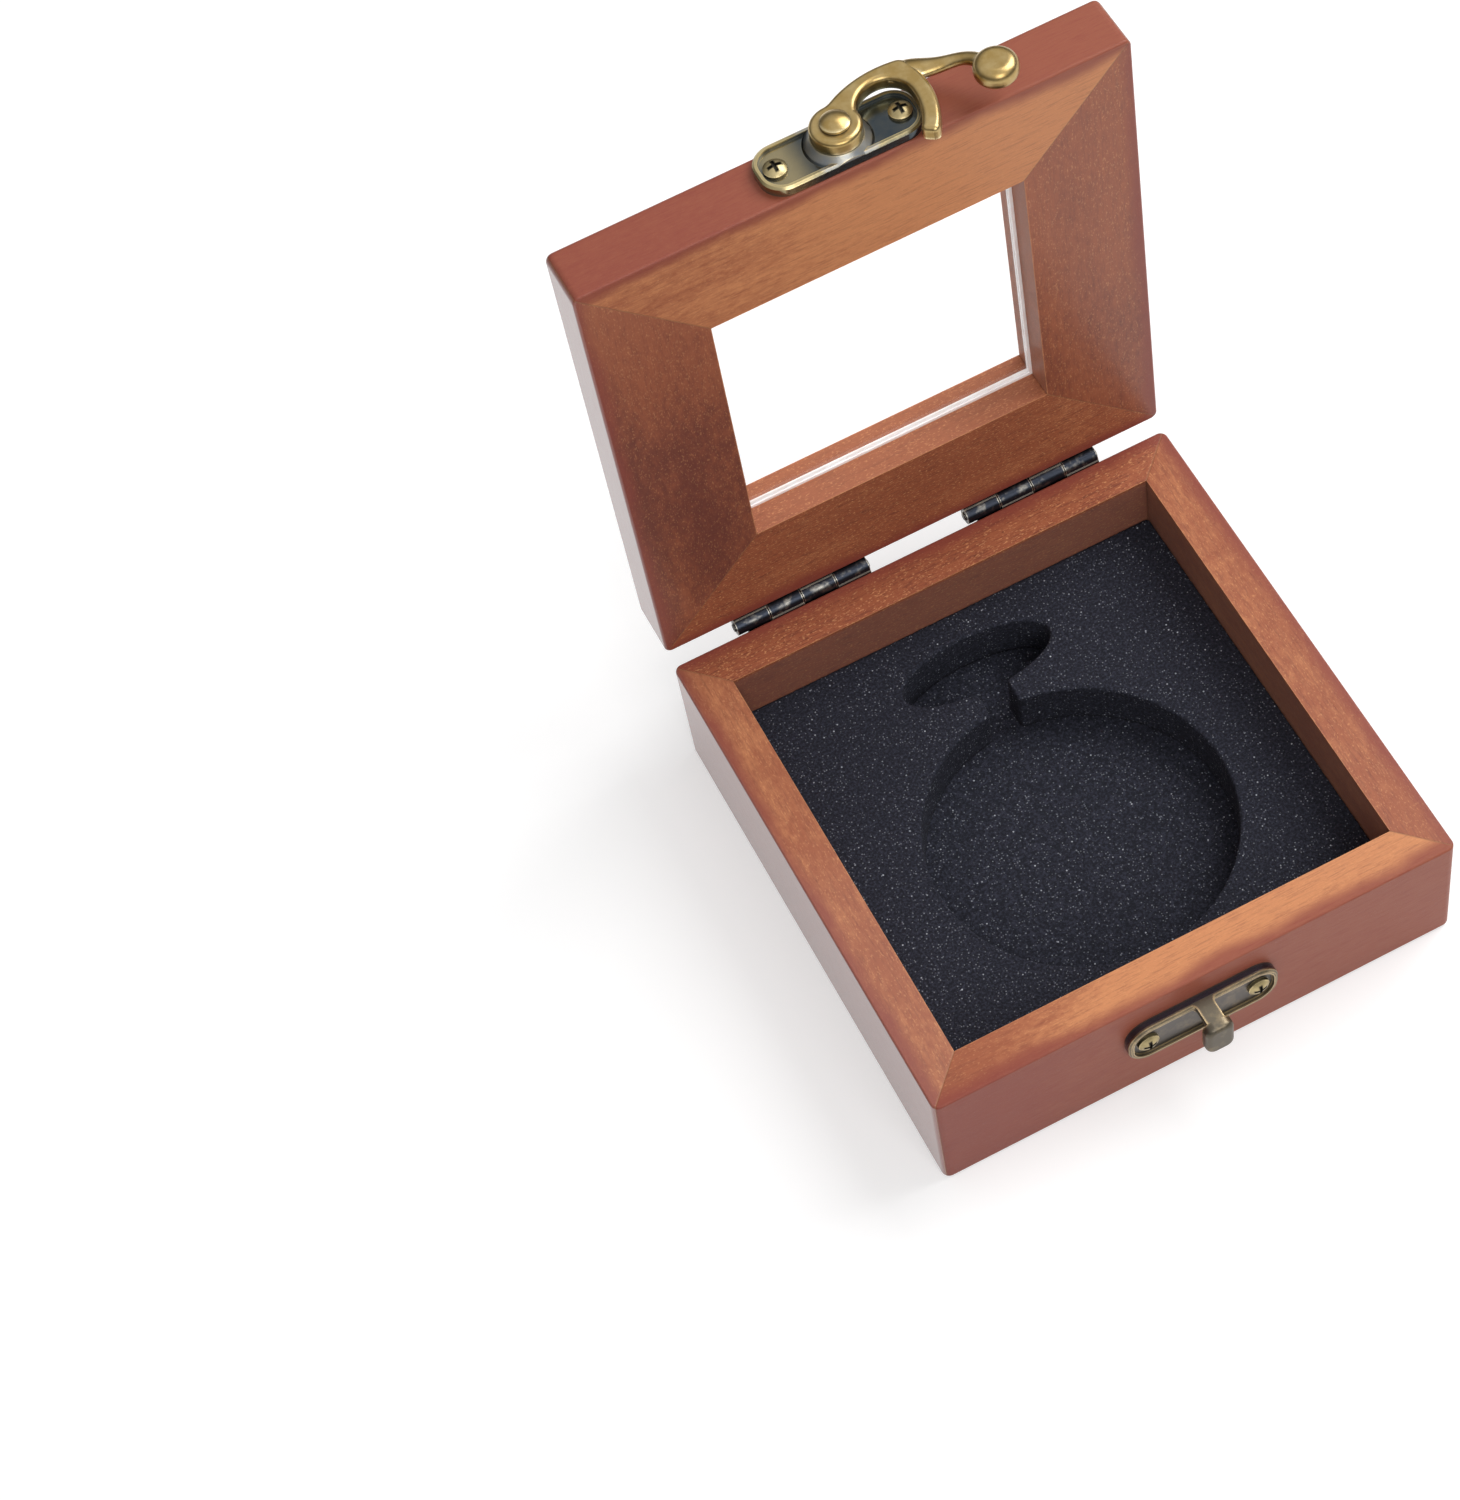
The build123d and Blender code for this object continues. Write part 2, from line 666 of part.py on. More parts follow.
# ---------------------------------------------------------------- the assembly
def build():
    """Every node by name, with the lid and the hook in the open position."""
    nodes = dict(base_walls())
    nodes["bottom_panel"] = bottom_panel()
    nodes["foam_base_pad"] = foam_block((panel_thickness, foam_pad_top))
    nodes["foam_insert"] = foam_insert()
    nodes["catch_plate"] = catch_plate()
    catch_places = latch_screw_places(catch_z, catch_screw_spacing)
    nodes["catch_screws"] = together(place * latch_screw() for place in catch_places)
    nodes["hinge_base_screws"] = together(place * hinge_screw() for place in hinge_screw_places(-1))

    lid = dict(lid_rails())
    lid["glass_pane"] = glass_pane()
    lid["window_gasket"] = window_gasket()
    lid["latch_plate"] = latch_plate()
    lid["latch_rivet"] = latch_rivet()
    lid["latch_hook"] = latch_hook()
    latch_places = latch_screw_places(latch_z, latch_screw_spacing)
    lid["latch_screws"] = together(place * latch_screw() for place in latch_places)
    lid["hinge_lid_screws"] = together(place * hinge_screw() for place in hinge_screw_places(1))

    base_leaves = hinge_leaves(-1)
    lid_leaves = hinge_leaves(1)
    for index, hand in enumerate(("left", "right")):
        nodes[f"hinge_pin_{hand}"] = hinge_pin(hinge_centres[index])
        nodes[f"hinge_base_leaf_{hand}"] = base_leaves[index]
        lid[f"hinge_lid_leaf_{hand}"] = lid_leaves[index]

    for name, shape in lid.items():
        nodes[name] = opened(shape)
    return nodes


def main():
    os.makedirs("parts", exist_ok=True)
    for name, shape in build().items():
        export_step(shape, f"parts/{name}.step")


if __name__ == "__main__":
    main()
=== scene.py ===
# %% [markdown]
# # A pocket watch display box
#
# The box is a mitred wooden case, stained red-brown and rubbed to a satin. Its lid is a wide frame round
# a pane of glass, it turns on two small blackened hinges and it is kept shut by a swing hook. Inside lies
# black foam, cut out for a round watch with its stem and bow.
#
# This lesson dresses the finished construction: every wooden board, metal fitting and pane keeps its
# shape and gets a finish, and the foam, which is too soft for flat solids, is modelled here as what it
# is.

# %% Load the construction
import json
import math

import bmesh
import bpy
import numpy as np
from mathutils import Matrix, Vector
from mathutils.geometry import delaunay_2d_cdt


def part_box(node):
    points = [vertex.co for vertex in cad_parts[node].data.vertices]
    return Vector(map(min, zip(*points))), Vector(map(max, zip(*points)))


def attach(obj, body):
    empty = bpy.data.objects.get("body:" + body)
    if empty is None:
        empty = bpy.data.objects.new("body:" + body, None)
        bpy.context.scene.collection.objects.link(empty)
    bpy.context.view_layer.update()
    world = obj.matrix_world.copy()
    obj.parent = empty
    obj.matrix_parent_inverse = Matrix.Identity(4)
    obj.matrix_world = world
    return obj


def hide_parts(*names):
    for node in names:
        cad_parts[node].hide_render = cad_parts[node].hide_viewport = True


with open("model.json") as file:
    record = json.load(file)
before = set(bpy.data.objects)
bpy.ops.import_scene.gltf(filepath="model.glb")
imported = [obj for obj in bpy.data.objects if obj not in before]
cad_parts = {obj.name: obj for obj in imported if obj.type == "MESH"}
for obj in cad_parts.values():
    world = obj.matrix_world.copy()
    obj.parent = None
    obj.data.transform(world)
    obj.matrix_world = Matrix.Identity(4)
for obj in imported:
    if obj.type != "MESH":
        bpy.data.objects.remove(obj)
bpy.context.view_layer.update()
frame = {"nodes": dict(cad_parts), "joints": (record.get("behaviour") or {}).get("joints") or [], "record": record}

nodes = frame["nodes"]
MM = 0.001

# %% Sizes read from the construction
def node_span(name):
    """The lowest and highest corner of a construction node at rest, as two arrays in metres."""
    low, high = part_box(name)
    return np.array(low), np.array(high)


# the case's upright edges are rounded, so a side wall's ends stop a little short of the front and back
case_low, case_high = node_span("base_left_wall")
side_wall_end = case_high[1]
half_width = -case_low[0]
inner_half = -case_high[0]
rim_height = case_high[2]
window_half = node_span("lid_right_rail")[0][0]
lid_joint = next(joint for joint in frame["joints"] if joint["name"] == "lid_hinge")
hook_joint = next(joint for joint in frame["joints"] if joint["name"] == "hook_swing")
lid_axis = Vector(lid_joint["pos_m"])
lid_opening = math.radians(lid_joint["range_deg"][1])
print("half width, mm:", half_width / MM, "wall's end:", side_wall_end / MM, "rim:", rim_height / MM)


# %% [markdown]
# ## Building finishes from nodes
#
# A finish is a node tree: textures that read a place on the object, arithmetic on them, and a shader at
# the end. The helpers below add one node each, set its inputs and give back its output, so that a finish
# reads like a recipe. An input that varies is linked, and one that is the same everywhere is set as a
# value.

# %% Node helpers
def feed(tree, node, **inputs):
    """Set or link a node's inputs.

    An input is given by its name, with its spaces written as underscores, or by its number after an
    underscore. A value that is a socket is linked.
    """
    for name, value in inputs.items():
        number = name[1:]
        socket = node.inputs[int(number)] if number.isdigit() else node.inputs[name.replace("_", " ")]
        if isinstance(value, bpy.types.NodeSocket):
            tree.links.new(value, socket)
        else:
            socket.default_value = value


def add_node(tree, kind, settings=None, output=0, **inputs):
    """Add one shader node, set its options and inputs, and return the output of that name or number."""
    made = tree.nodes.new("ShaderNode" + kind)
    for option, value in (settings or {}).items():
        setattr(made, option, value)
    feed(tree, made, **inputs)
    return made.outputs[output]


def calc(tree, operation, first, second=0.0, clamp=False):
    """Arithmetic on two numbers or sockets, kept within 0 to 1 if clamped."""
    return add_node(tree, "Math", {"operation": operation, "use_clamp": clamp}, _0=first, _1=second)


def scaled(tree, value, factor, offset=0.0, clamp=False):
    """value times factor, plus offset, kept within 0 to 1 if clamped."""
    options = {"operation": "MULTIPLY_ADD", "use_clamp": clamp}
    return add_node(tree, "Math", options, _0=value, _1=factor, _2=offset)


def dot(tree, first, second):
    """The dot product of two vectors."""
    options = {"operation": "DOT_PRODUCT"}
    return add_node(tree, "VectorMath", options, output="Value", _0=first, _1=second)


def coordinates(tree, place):
    """The x, y and z of a place."""
    return tuple(add_node(tree, "SeparateXYZ", _0=place).node.outputs)


def between(tree, value, low, high):
    """0 below low, 1 above high and a smooth S between them; low may be the larger of the two."""
    options = {"interpolation_type": "SMOOTHSTEP", "clamp": True}
    return add_node(tree, "MapRange", options, Value=value, From_Min=low, From_Max=high)


node_helpers = (feed, add_node, calc, scaled, dot, coordinates, between)
print("node helpers:", ", ".join(helper.__name__ for helper in node_helpers))


# %% Colour, place and pattern helpers
WHITE = (1.0, 1.0, 1.0, 1.0)
BEVEL_SAMPLES = 6
print("samples round each edge:", BEVEL_SAMPLES)


def blend_colours(tree, amount, first, second):
    """The first colour where the amount is 0 and the second where it is 1."""
    options = {"data_type": "RGBA", "clamp_factor": True}
    return add_node(tree, "Mix", options, output=2, _0=amount, _6=first, _7=second)


def place_in_mm(tree, rotation=(0.0, 0.0, 0.0), offset_mm=(0.0, 0.0, 0.0)):
    """The place on the object in millimetres, turned and then moved."""
    place = add_node(tree, "TexCoord", output="Object")
    options = {"vector_type": "POINT"}
    moves = {"Scale": (1.0 / MM, 1.0 / MM, 1.0 / MM), "Rotation": rotation, "Location": offset_mm}
    return add_node(tree, "Mapping", options, Vector=place, **moves)


def cloud(tree, place, scale, detail=2.0, roughness=0.5):
    """Fractal noise from 0 to 1, about 0.5 on average."""
    options = {"noise_dimensions": "3D"}
    looks = {"Scale": scale, "Detail": detail, "Roughness": roughness}
    return add_node(tree, "TexNoise", options, Vector=place, **looks)


def edge_amount(tree, radius, start, full):
    """0 on a flat face, rising to 1 at its edges.

    It is read from 1 less the dot product of the rounded normal and the true one, which is 0 on a flat
    face: the amount is 0 up to start and 1 from full.
    """
    rounded = add_node(tree, "Bevel", {"samples": BEVEL_SAMPLES}, Radius=radius)
    true = add_node(tree, "NewGeometry", output="Normal")
    return between(tree, calc(tree, "SUBTRACT", 1.0, dot(tree, rounded, true)), start, full)


# %% Materials made and given
def new_finish(name):
    """An empty material: the material, its node tree, its shader and its output."""
    material = bpy.data.materials.new(name)
    material.use_nodes = True
    tree = material.node_tree
    tree.nodes.clear()
    shader = tree.nodes.new("ShaderNodeBsdfPrincipled")
    output = tree.nodes.new("ShaderNodeOutputMaterial")
    tree.links.new(shader.outputs[0], output.inputs["Surface"])
    return material, tree, shader, output


def paint(material, *names):
    """Give construction nodes a finish in every one of their material slots."""
    for name in names:
        for slot in nodes[name].material_slots:
            slot.material = material


print("nodes with a material slot:", sum(bool(node.material_slots) for node in nodes.values()))


# %% [markdown]
# ## Stained wood
#
# The boards are a pale close-grained wood under a red-brown stain. Three things make it read as wood:
# short dark pores that run with the grain, golden flecks where the stain took less, and broad soft bands.
# The stain also lies darker along the outer arrises. Each board's grain runs along its own length, so the
# same recipe is turned for the boards at the sides, and the lid's boards are first laid back flat, as if
# the lid were shut. That also gives one place for the mitres: they lie where a board's two distances from
# the middle are equal.

# %% The wood's colours and patterns
WOOD_DEEP = (0.160, 0.041, 0.026, 1.0)
WOOD_MIDDLE = (0.350, 0.102, 0.046, 1.0)
WOOD_PALE = (0.620, 0.250, 0.105, 1.0)
WOOD_PORE = (0.070, 0.018, 0.010, 1.0)
WOOD_GOLD = (0.820, 0.400, 0.170, 1.0)
WOOD_RED = (0.246, 0.050, 0.034, 1.0)
# painted shade for the walls' inner faces below the rim, where the box's shade falls
WOOD_INSIDE_SHADE = (0.212, 0.120, 0.100, 1.0)
# painted light for the window's reveals: a paler tan where they are lit
WOOD_WINDOW_LIGHT = (0.500, 0.185, 0.095, 1.0)

# each pattern's repeats per millimetre along and across the grain, its detail and its roughness
GRAIN_PATTERNS = {
    "blotches": (0.050, 0.050, 3.0, 0.60),
    "bands": (0.020, 0.16, 3.0, 0.55),
    "mottle": (0.45, 1.1, 3.0, 0.65),
    "fibres": (0.26, 3.6, 4.0, 0.65),
    "pores": (1.3, 5.2, 2.0, 0.60),
    "flecks": (1.9, 4.6, 1.0, 0.50),
}
# each mark's pattern, where it begins and is full, its weight, what the figure adds, and its colour
GRAIN_MARKS = (
    ("fibres", 0.54, 0.30, 0.22, 0.46, WOOD_DEEP),
    ("pores", 0.59, 0.68, 0.0, 0.42, WOOD_PORE),
    ("flecks", 0.57, 0.74, 0.16, 0.34, WOOD_GOLD),
)
BAND_SHARE = 0.60
MOTTLE_SHARE = 0.60
BLOTCH_SHARE = 0.25
BLOTCH_SHARE_OF_FIGURE = 0.30
SHIFT_PER_SEED = Vector((31.0, 17.0, 7.0))
print("grain patterns:", ", ".join(GRAIN_PATTERNS))


def shut_lid_place(tree):
    """The place on a lid board in millimetres, turned about the hinge pins as if the lid were shut."""
    turn = Matrix.Rotation(lid_opening, 4, "X")
    offset = (lid_axis - turn @ lid_axis) / MM
    return place_in_mm(tree, rotation=(lid_opening, 0.0, 0.0), offset_mm=tuple(offset))


def board_patterns(tree, place, along_x, seed):
    """Noise for each grain pattern, stretched along the board's grain."""
    shift = tuple(SHIFT_PER_SEED * seed)
    shifted = add_node(tree, "VectorMath", {"operation": "ADD"}, _0=place, _1=shift)
    patterns = {}
    for name, (along, across, detail, roughness) in GRAIN_PATTERNS.items():
        repeats = (along, across, across) if along_x else (across, along, across)
        squeezed = add_node(tree, "VectorMath", {"operation": "MULTIPLY"}, _0=shifted, _1=repeats)
        patterns[name] = cloud(tree, squeezed, 1.0, detail, roughness)
    return patterns


def board_tone(tree, patterns, along, tone_and_light, drift, figure):
    """The stain's tone, partly painted light and shade: the board's tone_and_light, its drift and a share of each
    pattern's distance from 0.5.
    """
    shares = {
        "bands": BAND_SHARE,
        "mottle": MOTTLE_SHARE,
        "blotches": BLOTCH_SHARE + BLOTCH_SHARE_OF_FIGURE * min(figure, 1.0),
    }
    level = tone_and_light - 0.5 * sum(shares.values())
    first, second, reach = drift
    ends = {"From_Min": -half_width / MM, "From_Max": reach * half_width / MM}
    tone = add_node(tree, "MapRange", Value=along, To_Min=level + first, To_Max=level + second, **ends)
    for name, share in shares.items():
        tone = scaled(tree, patterns[name], share, tone)
    return tone


def stain_colour(tree, tone):
    """The stain's colour for a tone: deep near 0, middle at a half and pale near 1."""
    colour = blend_colours(tree, between(tree, tone, -0.05, 0.5), WOOD_DEEP, WOOD_MIDDLE)
    return blend_colours(tree, between(tree, tone, 0.5, 1.05), colour, WOOD_PALE)


# %% The wood's edges and faces
# these lengths are in millimetres
ARRIS_BAND = 3.2
ARRIS_FULL = 0.4
ARRIS_WAVE = 5.0
MITRE_START, MITRE_FULL = 0.26, 0.08
WORN_EDGE_RADIUS = 0.3
FACE_START = 0.25
FACE_FULL = 0.05
RIM_START = 0.3
RIM_FULL = 0.8
GROOVE_DEPTH = 0.06

# how far each of these tints covers the stain, from 0 to 1, and what the fibres add to the red one
RED_LEAST, RED_BY_FIBRES = 0.58, 0.50
# the inside tint is painted shade, darkening the walls' inner faces below the rim
INSIDE_PAINTED_SHADE = 0.45
# the window tint is painted light, a paler tan on the reveals round the glass
WINDOW_PAINTED_LIGHT = 0.40
MITRE_DARKNESS = 0.38

# where an edge's wear begins and is full, and what is taken from the mottle that weighs it
WORN_START, WORN_FULL = 0.012, 0.16
UNWORN_MOTTLE = 0.10

# how high fibres stand and how deep pores and mitres lie, as shares of the groove's depth
FIBRE_HEIGHT = 0.35
PORE_SINKING = 1.0
MITRE_SINKING = 1.2

# the wood's own roughness under its coat, and what the fibres add to it
WOOD_ROUGHNESS, ROUGHNESS_BY_FIBRES = 0.36, 0.20
print("stain band along the arrises, mm:", ARRIS_BAND)


def arris_stain(tree, patterns, outwards):
    """How strongly the red stain lies: over the outer faces and a wavy band along their arrises."""
    wave = scaled(tree, patterns["blotches"], ARRIS_WAVE, -0.5 * ARRIS_WAVE)
    edge = half_width / MM
    arris = between(tree, calc(tree, "ADD", outwards, wave), edge - ARRIS_BAND, edge - ARRIS_FULL)
    return calc(tree, "MULTIPLY", arris, scaled(tree, patterns["fibres"], RED_BY_FIBRES, RED_LEAST))


def facing_in(tree, outwards, half_opening):
    """1 on the faces that look into an opening of this half width, in metres, and 0 further out."""
    return between(tree, outwards, half_opening / MM + FACE_START, half_opening / MM + FACE_FULL)


def wood_finish(name, on_lid, along_x, seed, tone_and_light, drift=(0.0, 0.0, 1.0), figure=1.0, polish=0.12):
    """Stained wood for one board.

    The grain runs along X or Y. tone_and_light, from 0 to 1, is the board's tone, from deep to pale: partly
    its own stain and partly painted light and shade, paler where the board catches the lamps' sheen and
    darker where it lies in shade. drift is what its two ends add to that, also partly painted light and shade,
    and how far along the board, from -1 to 1, the second is reached. figure is how strongly the pores and
    flecks show, and polish is the weight of the clear coat.
    """
    material, tree, shader, _ = new_finish(name)
    place = shut_lid_place(tree) if on_lid else place_in_mm(tree)
    x, y, z = coordinates(tree, place)
    patterns = board_patterns(tree, place, along_x, seed)
    colour = stain_colour(tree, board_tone(tree, patterns, x if along_x else y, tone_and_light, drift, figure))
    marks = {}
    for pattern, start, full, weight, figure_weight, tint in GRAIN_MARKS:
        marks[pattern] = between(tree, patterns[pattern], start, full)
        amount = scaled(tree, marks[pattern], weight + figure_weight * figure)
        colour = blend_colours(tree, amount, colour, tint)

    across_x = calc(tree, "ABSOLUTE", x)
    across_y = calc(tree, "ABSOLUTE", y)
    outwards = calc(tree, "MAXIMUM", across_x, across_y)
    colour = blend_colours(tree, arris_stain(tree, patterns, outwards), colour, WOOD_RED)
    if on_lid:
        inner = facing_in(tree, outwards, window_half)
        # painted light: the reveals round the window are tinted a paler tan
        colour = blend_colours(tree, scaled(tree, inner, WINDOW_PAINTED_LIGHT), colour, WOOD_WINDOW_LIGHT)
        coat = scaled(tree, inner, -polish, polish)
    else:
        # painted shade: the walls' inner faces below the rim are darkened towards a shaded brown
        below_rim = between(tree, z, rim_height / MM - RIM_START, rim_height / MM - RIM_FULL)
        inner = calc(tree, "MULTIPLY", facing_in(tree, outwards, inner_half), below_rim)
        colour = blend_colours(tree, scaled(tree, inner, INSIDE_PAINTED_SHADE), colour, WOOD_INSIDE_SHADE)
        coat = polish

    edges = edge_amount(tree, WORN_EDGE_RADIUS * MM, WORN_START, WORN_FULL)
    uneven = calc(tree, "SUBTRACT", patterns["mottle"], UNWORN_MOTTLE)
    worn = calc(tree, "MULTIPLY", edges, uneven, clamp=True)
    colour = blend_colours(tree, worn, colour, WOOD_GOLD)
    from_mitre = calc(tree, "ABSOLUTE", calc(tree, "SUBTRACT", across_x, across_y))
    mitre = between(tree, from_mitre, MITRE_START, MITRE_FULL)
    colour = blend_colours(tree, scaled(tree, mitre, MITRE_DARKNESS), colour, WOOD_PORE)

    height = scaled(tree, patterns["fibres"], FIBRE_HEIGHT, scaled(tree, marks["pores"], -PORE_SINKING))
    height = scaled(tree, mitre, -MITRE_SINKING, height)
    bump = add_node(tree, "Bump", Strength=0.30, Distance=GROOVE_DEPTH * MM, Height=height)
    rough = scaled(tree, patterns["fibres"], ROUGHNESS_BY_FIBRES, WOOD_ROUGHNESS)
    feed(tree, shader, Base_Color=colour, Roughness=rough, Normal=bump, Specular_IOR_Level=0.30)
    feed(tree, shader, Coat_Weight=coat, Coat_Roughness=0.22)
    feed(tree, shader, Sheen_Weight=0.30 * polish, Sheen_Roughness=0.30)
    return material


# %% Stain the boards
SIDES = ("front", "back", "left", "right")

# each board's tone and light, its drift, its figure and its polish: tone and drift are partly the
# board's own stain and partly painted light and shade, paler where a board catches the lamps' sheen
BASE_BOARDS = {
    "front": (0.93, (-0.66, 0.08, -0.22), 0.25, 0.02),
    "back": (0.42, (-0.04, 0.06, 1.0), 1.15, 0.10),
    "left": (0.76, (-0.08, -0.04, 1.0), 0.40, 0.90),
    "right": (0.53, (0.12, 0.14, 1.0), 0.45, 0.12),
}
LID_BOARDS = {
    "front": (0.94, (-0.26, 0.36, 1.0), 0.20, 0.14),
    "back": (0.53, (-0.10, 0.04, 1.0), 1.15, 0.10),
    "left": (0.11, (0.50, 0.02, -0.1), 0.30, 0.95),
    "right": (0.28, (0.20, 0.04, 0.2), 0.40, 0.30),
}
PANEL_WARMTH = 0.3

seed = 1.0
halves = (("base", BASE_BOARDS, "wall", False), ("lid", LID_BOARDS, "rail", True))
for half, boards, part, on_lid in halves:
    for side in SIDES:
        along_x = side in ("front", "back")
        finish = wood_finish(f"stained_wood_{half}_{side}", on_lid, along_x, seed, *boards[side])
        paint(finish, f"{half}_{side}_{part}")
        seed += 1.0
paint(wood_finish("stained_wood_panel", False, True, seed, PANEL_WARMTH), "bottom_panel")
print("wood finishes:", sum("stained_wood" in material.name for material in bpy.data.materials))


# %% [markdown]
# ## Aged brass and blackened bronze
#
# The fittings are cast and stamped brass with an antique finish: dark in every hollow, and rubbed bright
# on every edge and high spot that a thumb or cloth reaches. Two nodes find those places on any shape. The
# bevel node rounds the normal near an edge, so the more it differs from the true normal, the nearer the
# edge is. The ambient occlusion node looks round each point, and is low in a hollow.

# %% The metals' measures
# a hollow's reach in metres, its light from dark to open, and how many rays look for it
HOLLOW_REACH = 1.6 * MM
HOLLOW_DARK, HOLLOW_OPEN = 0.25, 0.95
HOLLOW_SAMPLES = 8
PATCHES_PER_MM = 0.45
GRAINS_PER_MM = 5.0
EDGE_START, EDGE_FULL = 0.006, 0.10

# wear below this leaves the faces their own skin
WEAR_THRESHOLD = 0.40

# how worn an edge is where the wear is 0, and what handling adds at a rubbed end
EDGE_LEAST = 0.35
HANDLING = 0.55

# the share of wear that reaches a stamping's ground, and how much smoother the ground is
FIELD_WEAR = 0.15
FIELD_SMOOTHNESS = 0.20

# how much rougher unworn metal is, what the grain adds to that, and how metallic a hollow's dark is
UNWORN_ROUGHNESS = 0.12
GRAIN_ROUGHNESS = 0.08
HOLLOW_METAL = 0.45

# where each place begins and is full, from its middle or its level, in millimetres
BOSS_FADE = 0.3
CROSS_SLOT = (0.42, 0.26)
CROSS_REACH = (1.30, 1.05)
FIELD_FADE = (-0.12, 0.18)
CROSS_DARKNESS = 0.92

# the depth of the cast surface's unevenness, in millimetres, its least strength, what patches add to
# that, and the grain's share of it
CAST_RELIEF = 0.08
RELIEF_LEAST = 0.12
RELIEF_BY_PATCHES = 0.12
GRAIN_RELIEF = 0.3
print("hollows are looked for within, mm:", HOLLOW_REACH / MM)


def cross_mask(tree, axes, middles, half_spacing):
    """1 in the cross recesses of two screws and 0 elsewhere.

    In a recess one of the two distances from a screw's middle is small and neither is large. axes are the
    face's two directions, middles the plate's middle along them, in millimetres, and the screws stand
    half_spacing either side of it.
    """
    place = place_in_mm(tree)
    offsets = []
    for axis, middle in zip(axes, middles):
        from_middle = calc(tree, "SUBTRACT", dot(tree, place, tuple(axis)), middle)
        offsets.append(calc(tree, "ABSOLUTE", from_middle))
    offsets[0] = calc(tree, "ABSOLUTE", calc(tree, "SUBTRACT", offsets[0], half_spacing))
    slim = between(tree, calc(tree, "MINIMUM", *offsets), *CROSS_SLOT)
    short = between(tree, calc(tree, "MAXIMUM", *offsets), *CROSS_REACH)
    return calc(tree, "MULTIPLY", slim, short)


# %% The metals' recipe
def aged_metal(name, skins, wear, roughness, seed, patchiness, edge_reach, **places):
    """Metal that is dark in its hollows, has its own skin on its faces and is worn bright at its edges.

    skins are the colours of the hollows, the faces and the worn metal. edge_reach is how far wear reaches
    in from an edge, in millimetres. These places, where given, differ:
    field: (face normal, level in mm, colour), the dark glossy ground of a stamping, out of reach of wear;
    boss: (centre in mm, radius in mm, colour), a raised round of another tone;
    rubbed_end: (x in mm where it starts, x in mm where it is full), an end that hands have rubbed;
    cross: the axes, middles and half spacing of two screws, whose recesses have stayed dark.
    """
    hollow, skin, worn = skins
    material, tree, shader, _ = new_finish(name)
    place = place_in_mm(tree)
    shifted = place_in_mm(tree, offset_mm=(seed, 2.0 * seed, 0.0))
    patches = cloud(tree, shifted, PATCHES_PER_MM, 3.0, 0.6)
    grain = cloud(tree, shifted, GRAINS_PER_MM, 2.0, 0.6)
    edges = edge_amount(tree, edge_reach * MM, EDGE_START, EDGE_FULL)
    options = {"samples": HOLLOW_SAMPLES}
    around = add_node(tree, "AmbientOcclusion", options, output="AO", Distance=HOLLOW_REACH)
    standing = between(tree, around, HOLLOW_DARK, HOLLOW_OPEN)

    rubbed = scaled(tree, patches, patchiness, wear - WEAR_THRESHOLD - 0.5 * patchiness)
    rubbed = calc(tree, "MULTIPLY", calc(tree, "MAXIMUM", rubbed, 0.0), standing)
    bright = scaled(tree, edges, EDGE_LEAST + (1.0 - EDGE_LEAST) * wear, rubbed, clamp=True)
    rough = scaled(tree, bright, -UNWORN_ROUGHNESS, roughness + UNWORN_ROUGHNESS)
    rough = scaled(tree, grain, GRAIN_ROUGHNESS, rough)
    if "boss" in places:
        centre, radius, boss_skin = places["boss"]
        options = {"operation": "DISTANCE"}
        away = add_node(tree, "VectorMath", options, output="Value", _0=place, _1=centre)
        on_boss = between(tree, away, radius + BOSS_FADE, radius - BOSS_FADE)
        skin = blend_colours(tree, on_boss, skin, boss_skin)
    if "field" in places:
        face, level, field_skin = places["field"]
        raised = between(tree, calc(tree, "SUBTRACT", dot(tree, place, tuple(face)), level), *FIELD_FADE)
        skin = blend_colours(tree, raised, field_skin, skin)
        bright = calc(tree, "MULTIPLY", bright, scaled(tree, raised, 1.0 - FIELD_WEAR, FIELD_WEAR))
        rough = calc(tree, "ADD", rough, scaled(tree, raised, FIELD_SMOOTHNESS, -FIELD_SMOOTHNESS))
    if "rubbed_end" in places:
        x = coordinates(tree, place)[0]
        handled = calc(tree, "MULTIPLY", between(tree, x, *places["rubbed_end"]), standing)
        bright = scaled(tree, handled, HANDLING, bright, clamp=True)
    colour = blend_colours(tree, standing, hollow, skin)
    colour = blend_colours(tree, bright, colour, worn)
    if "cross" in places:
        recess = scaled(tree, cross_mask(tree, *places["cross"]), CROSS_DARKNESS)
        colour = blend_colours(tree, recess, colour, hollow)

    bare = scaled(tree, calc(tree, "MAXIMUM", standing, bright), 1.0 - HOLLOW_METAL, HOLLOW_METAL)
    height = scaled(tree, grain, GRAIN_RELIEF, patches)
    relief = RELIEF_LEAST + RELIEF_BY_PATCHES * patchiness
    bump = add_node(tree, "Bump", Strength=relief, Distance=CAST_RELIEF * MM, Height=height)
    feed(tree, shader, Base_Color=colour, Metallic=bare, Roughness=rough, Normal=bump)
    return material


print("wear shows on faces above:", WEAR_THRESHOLD)


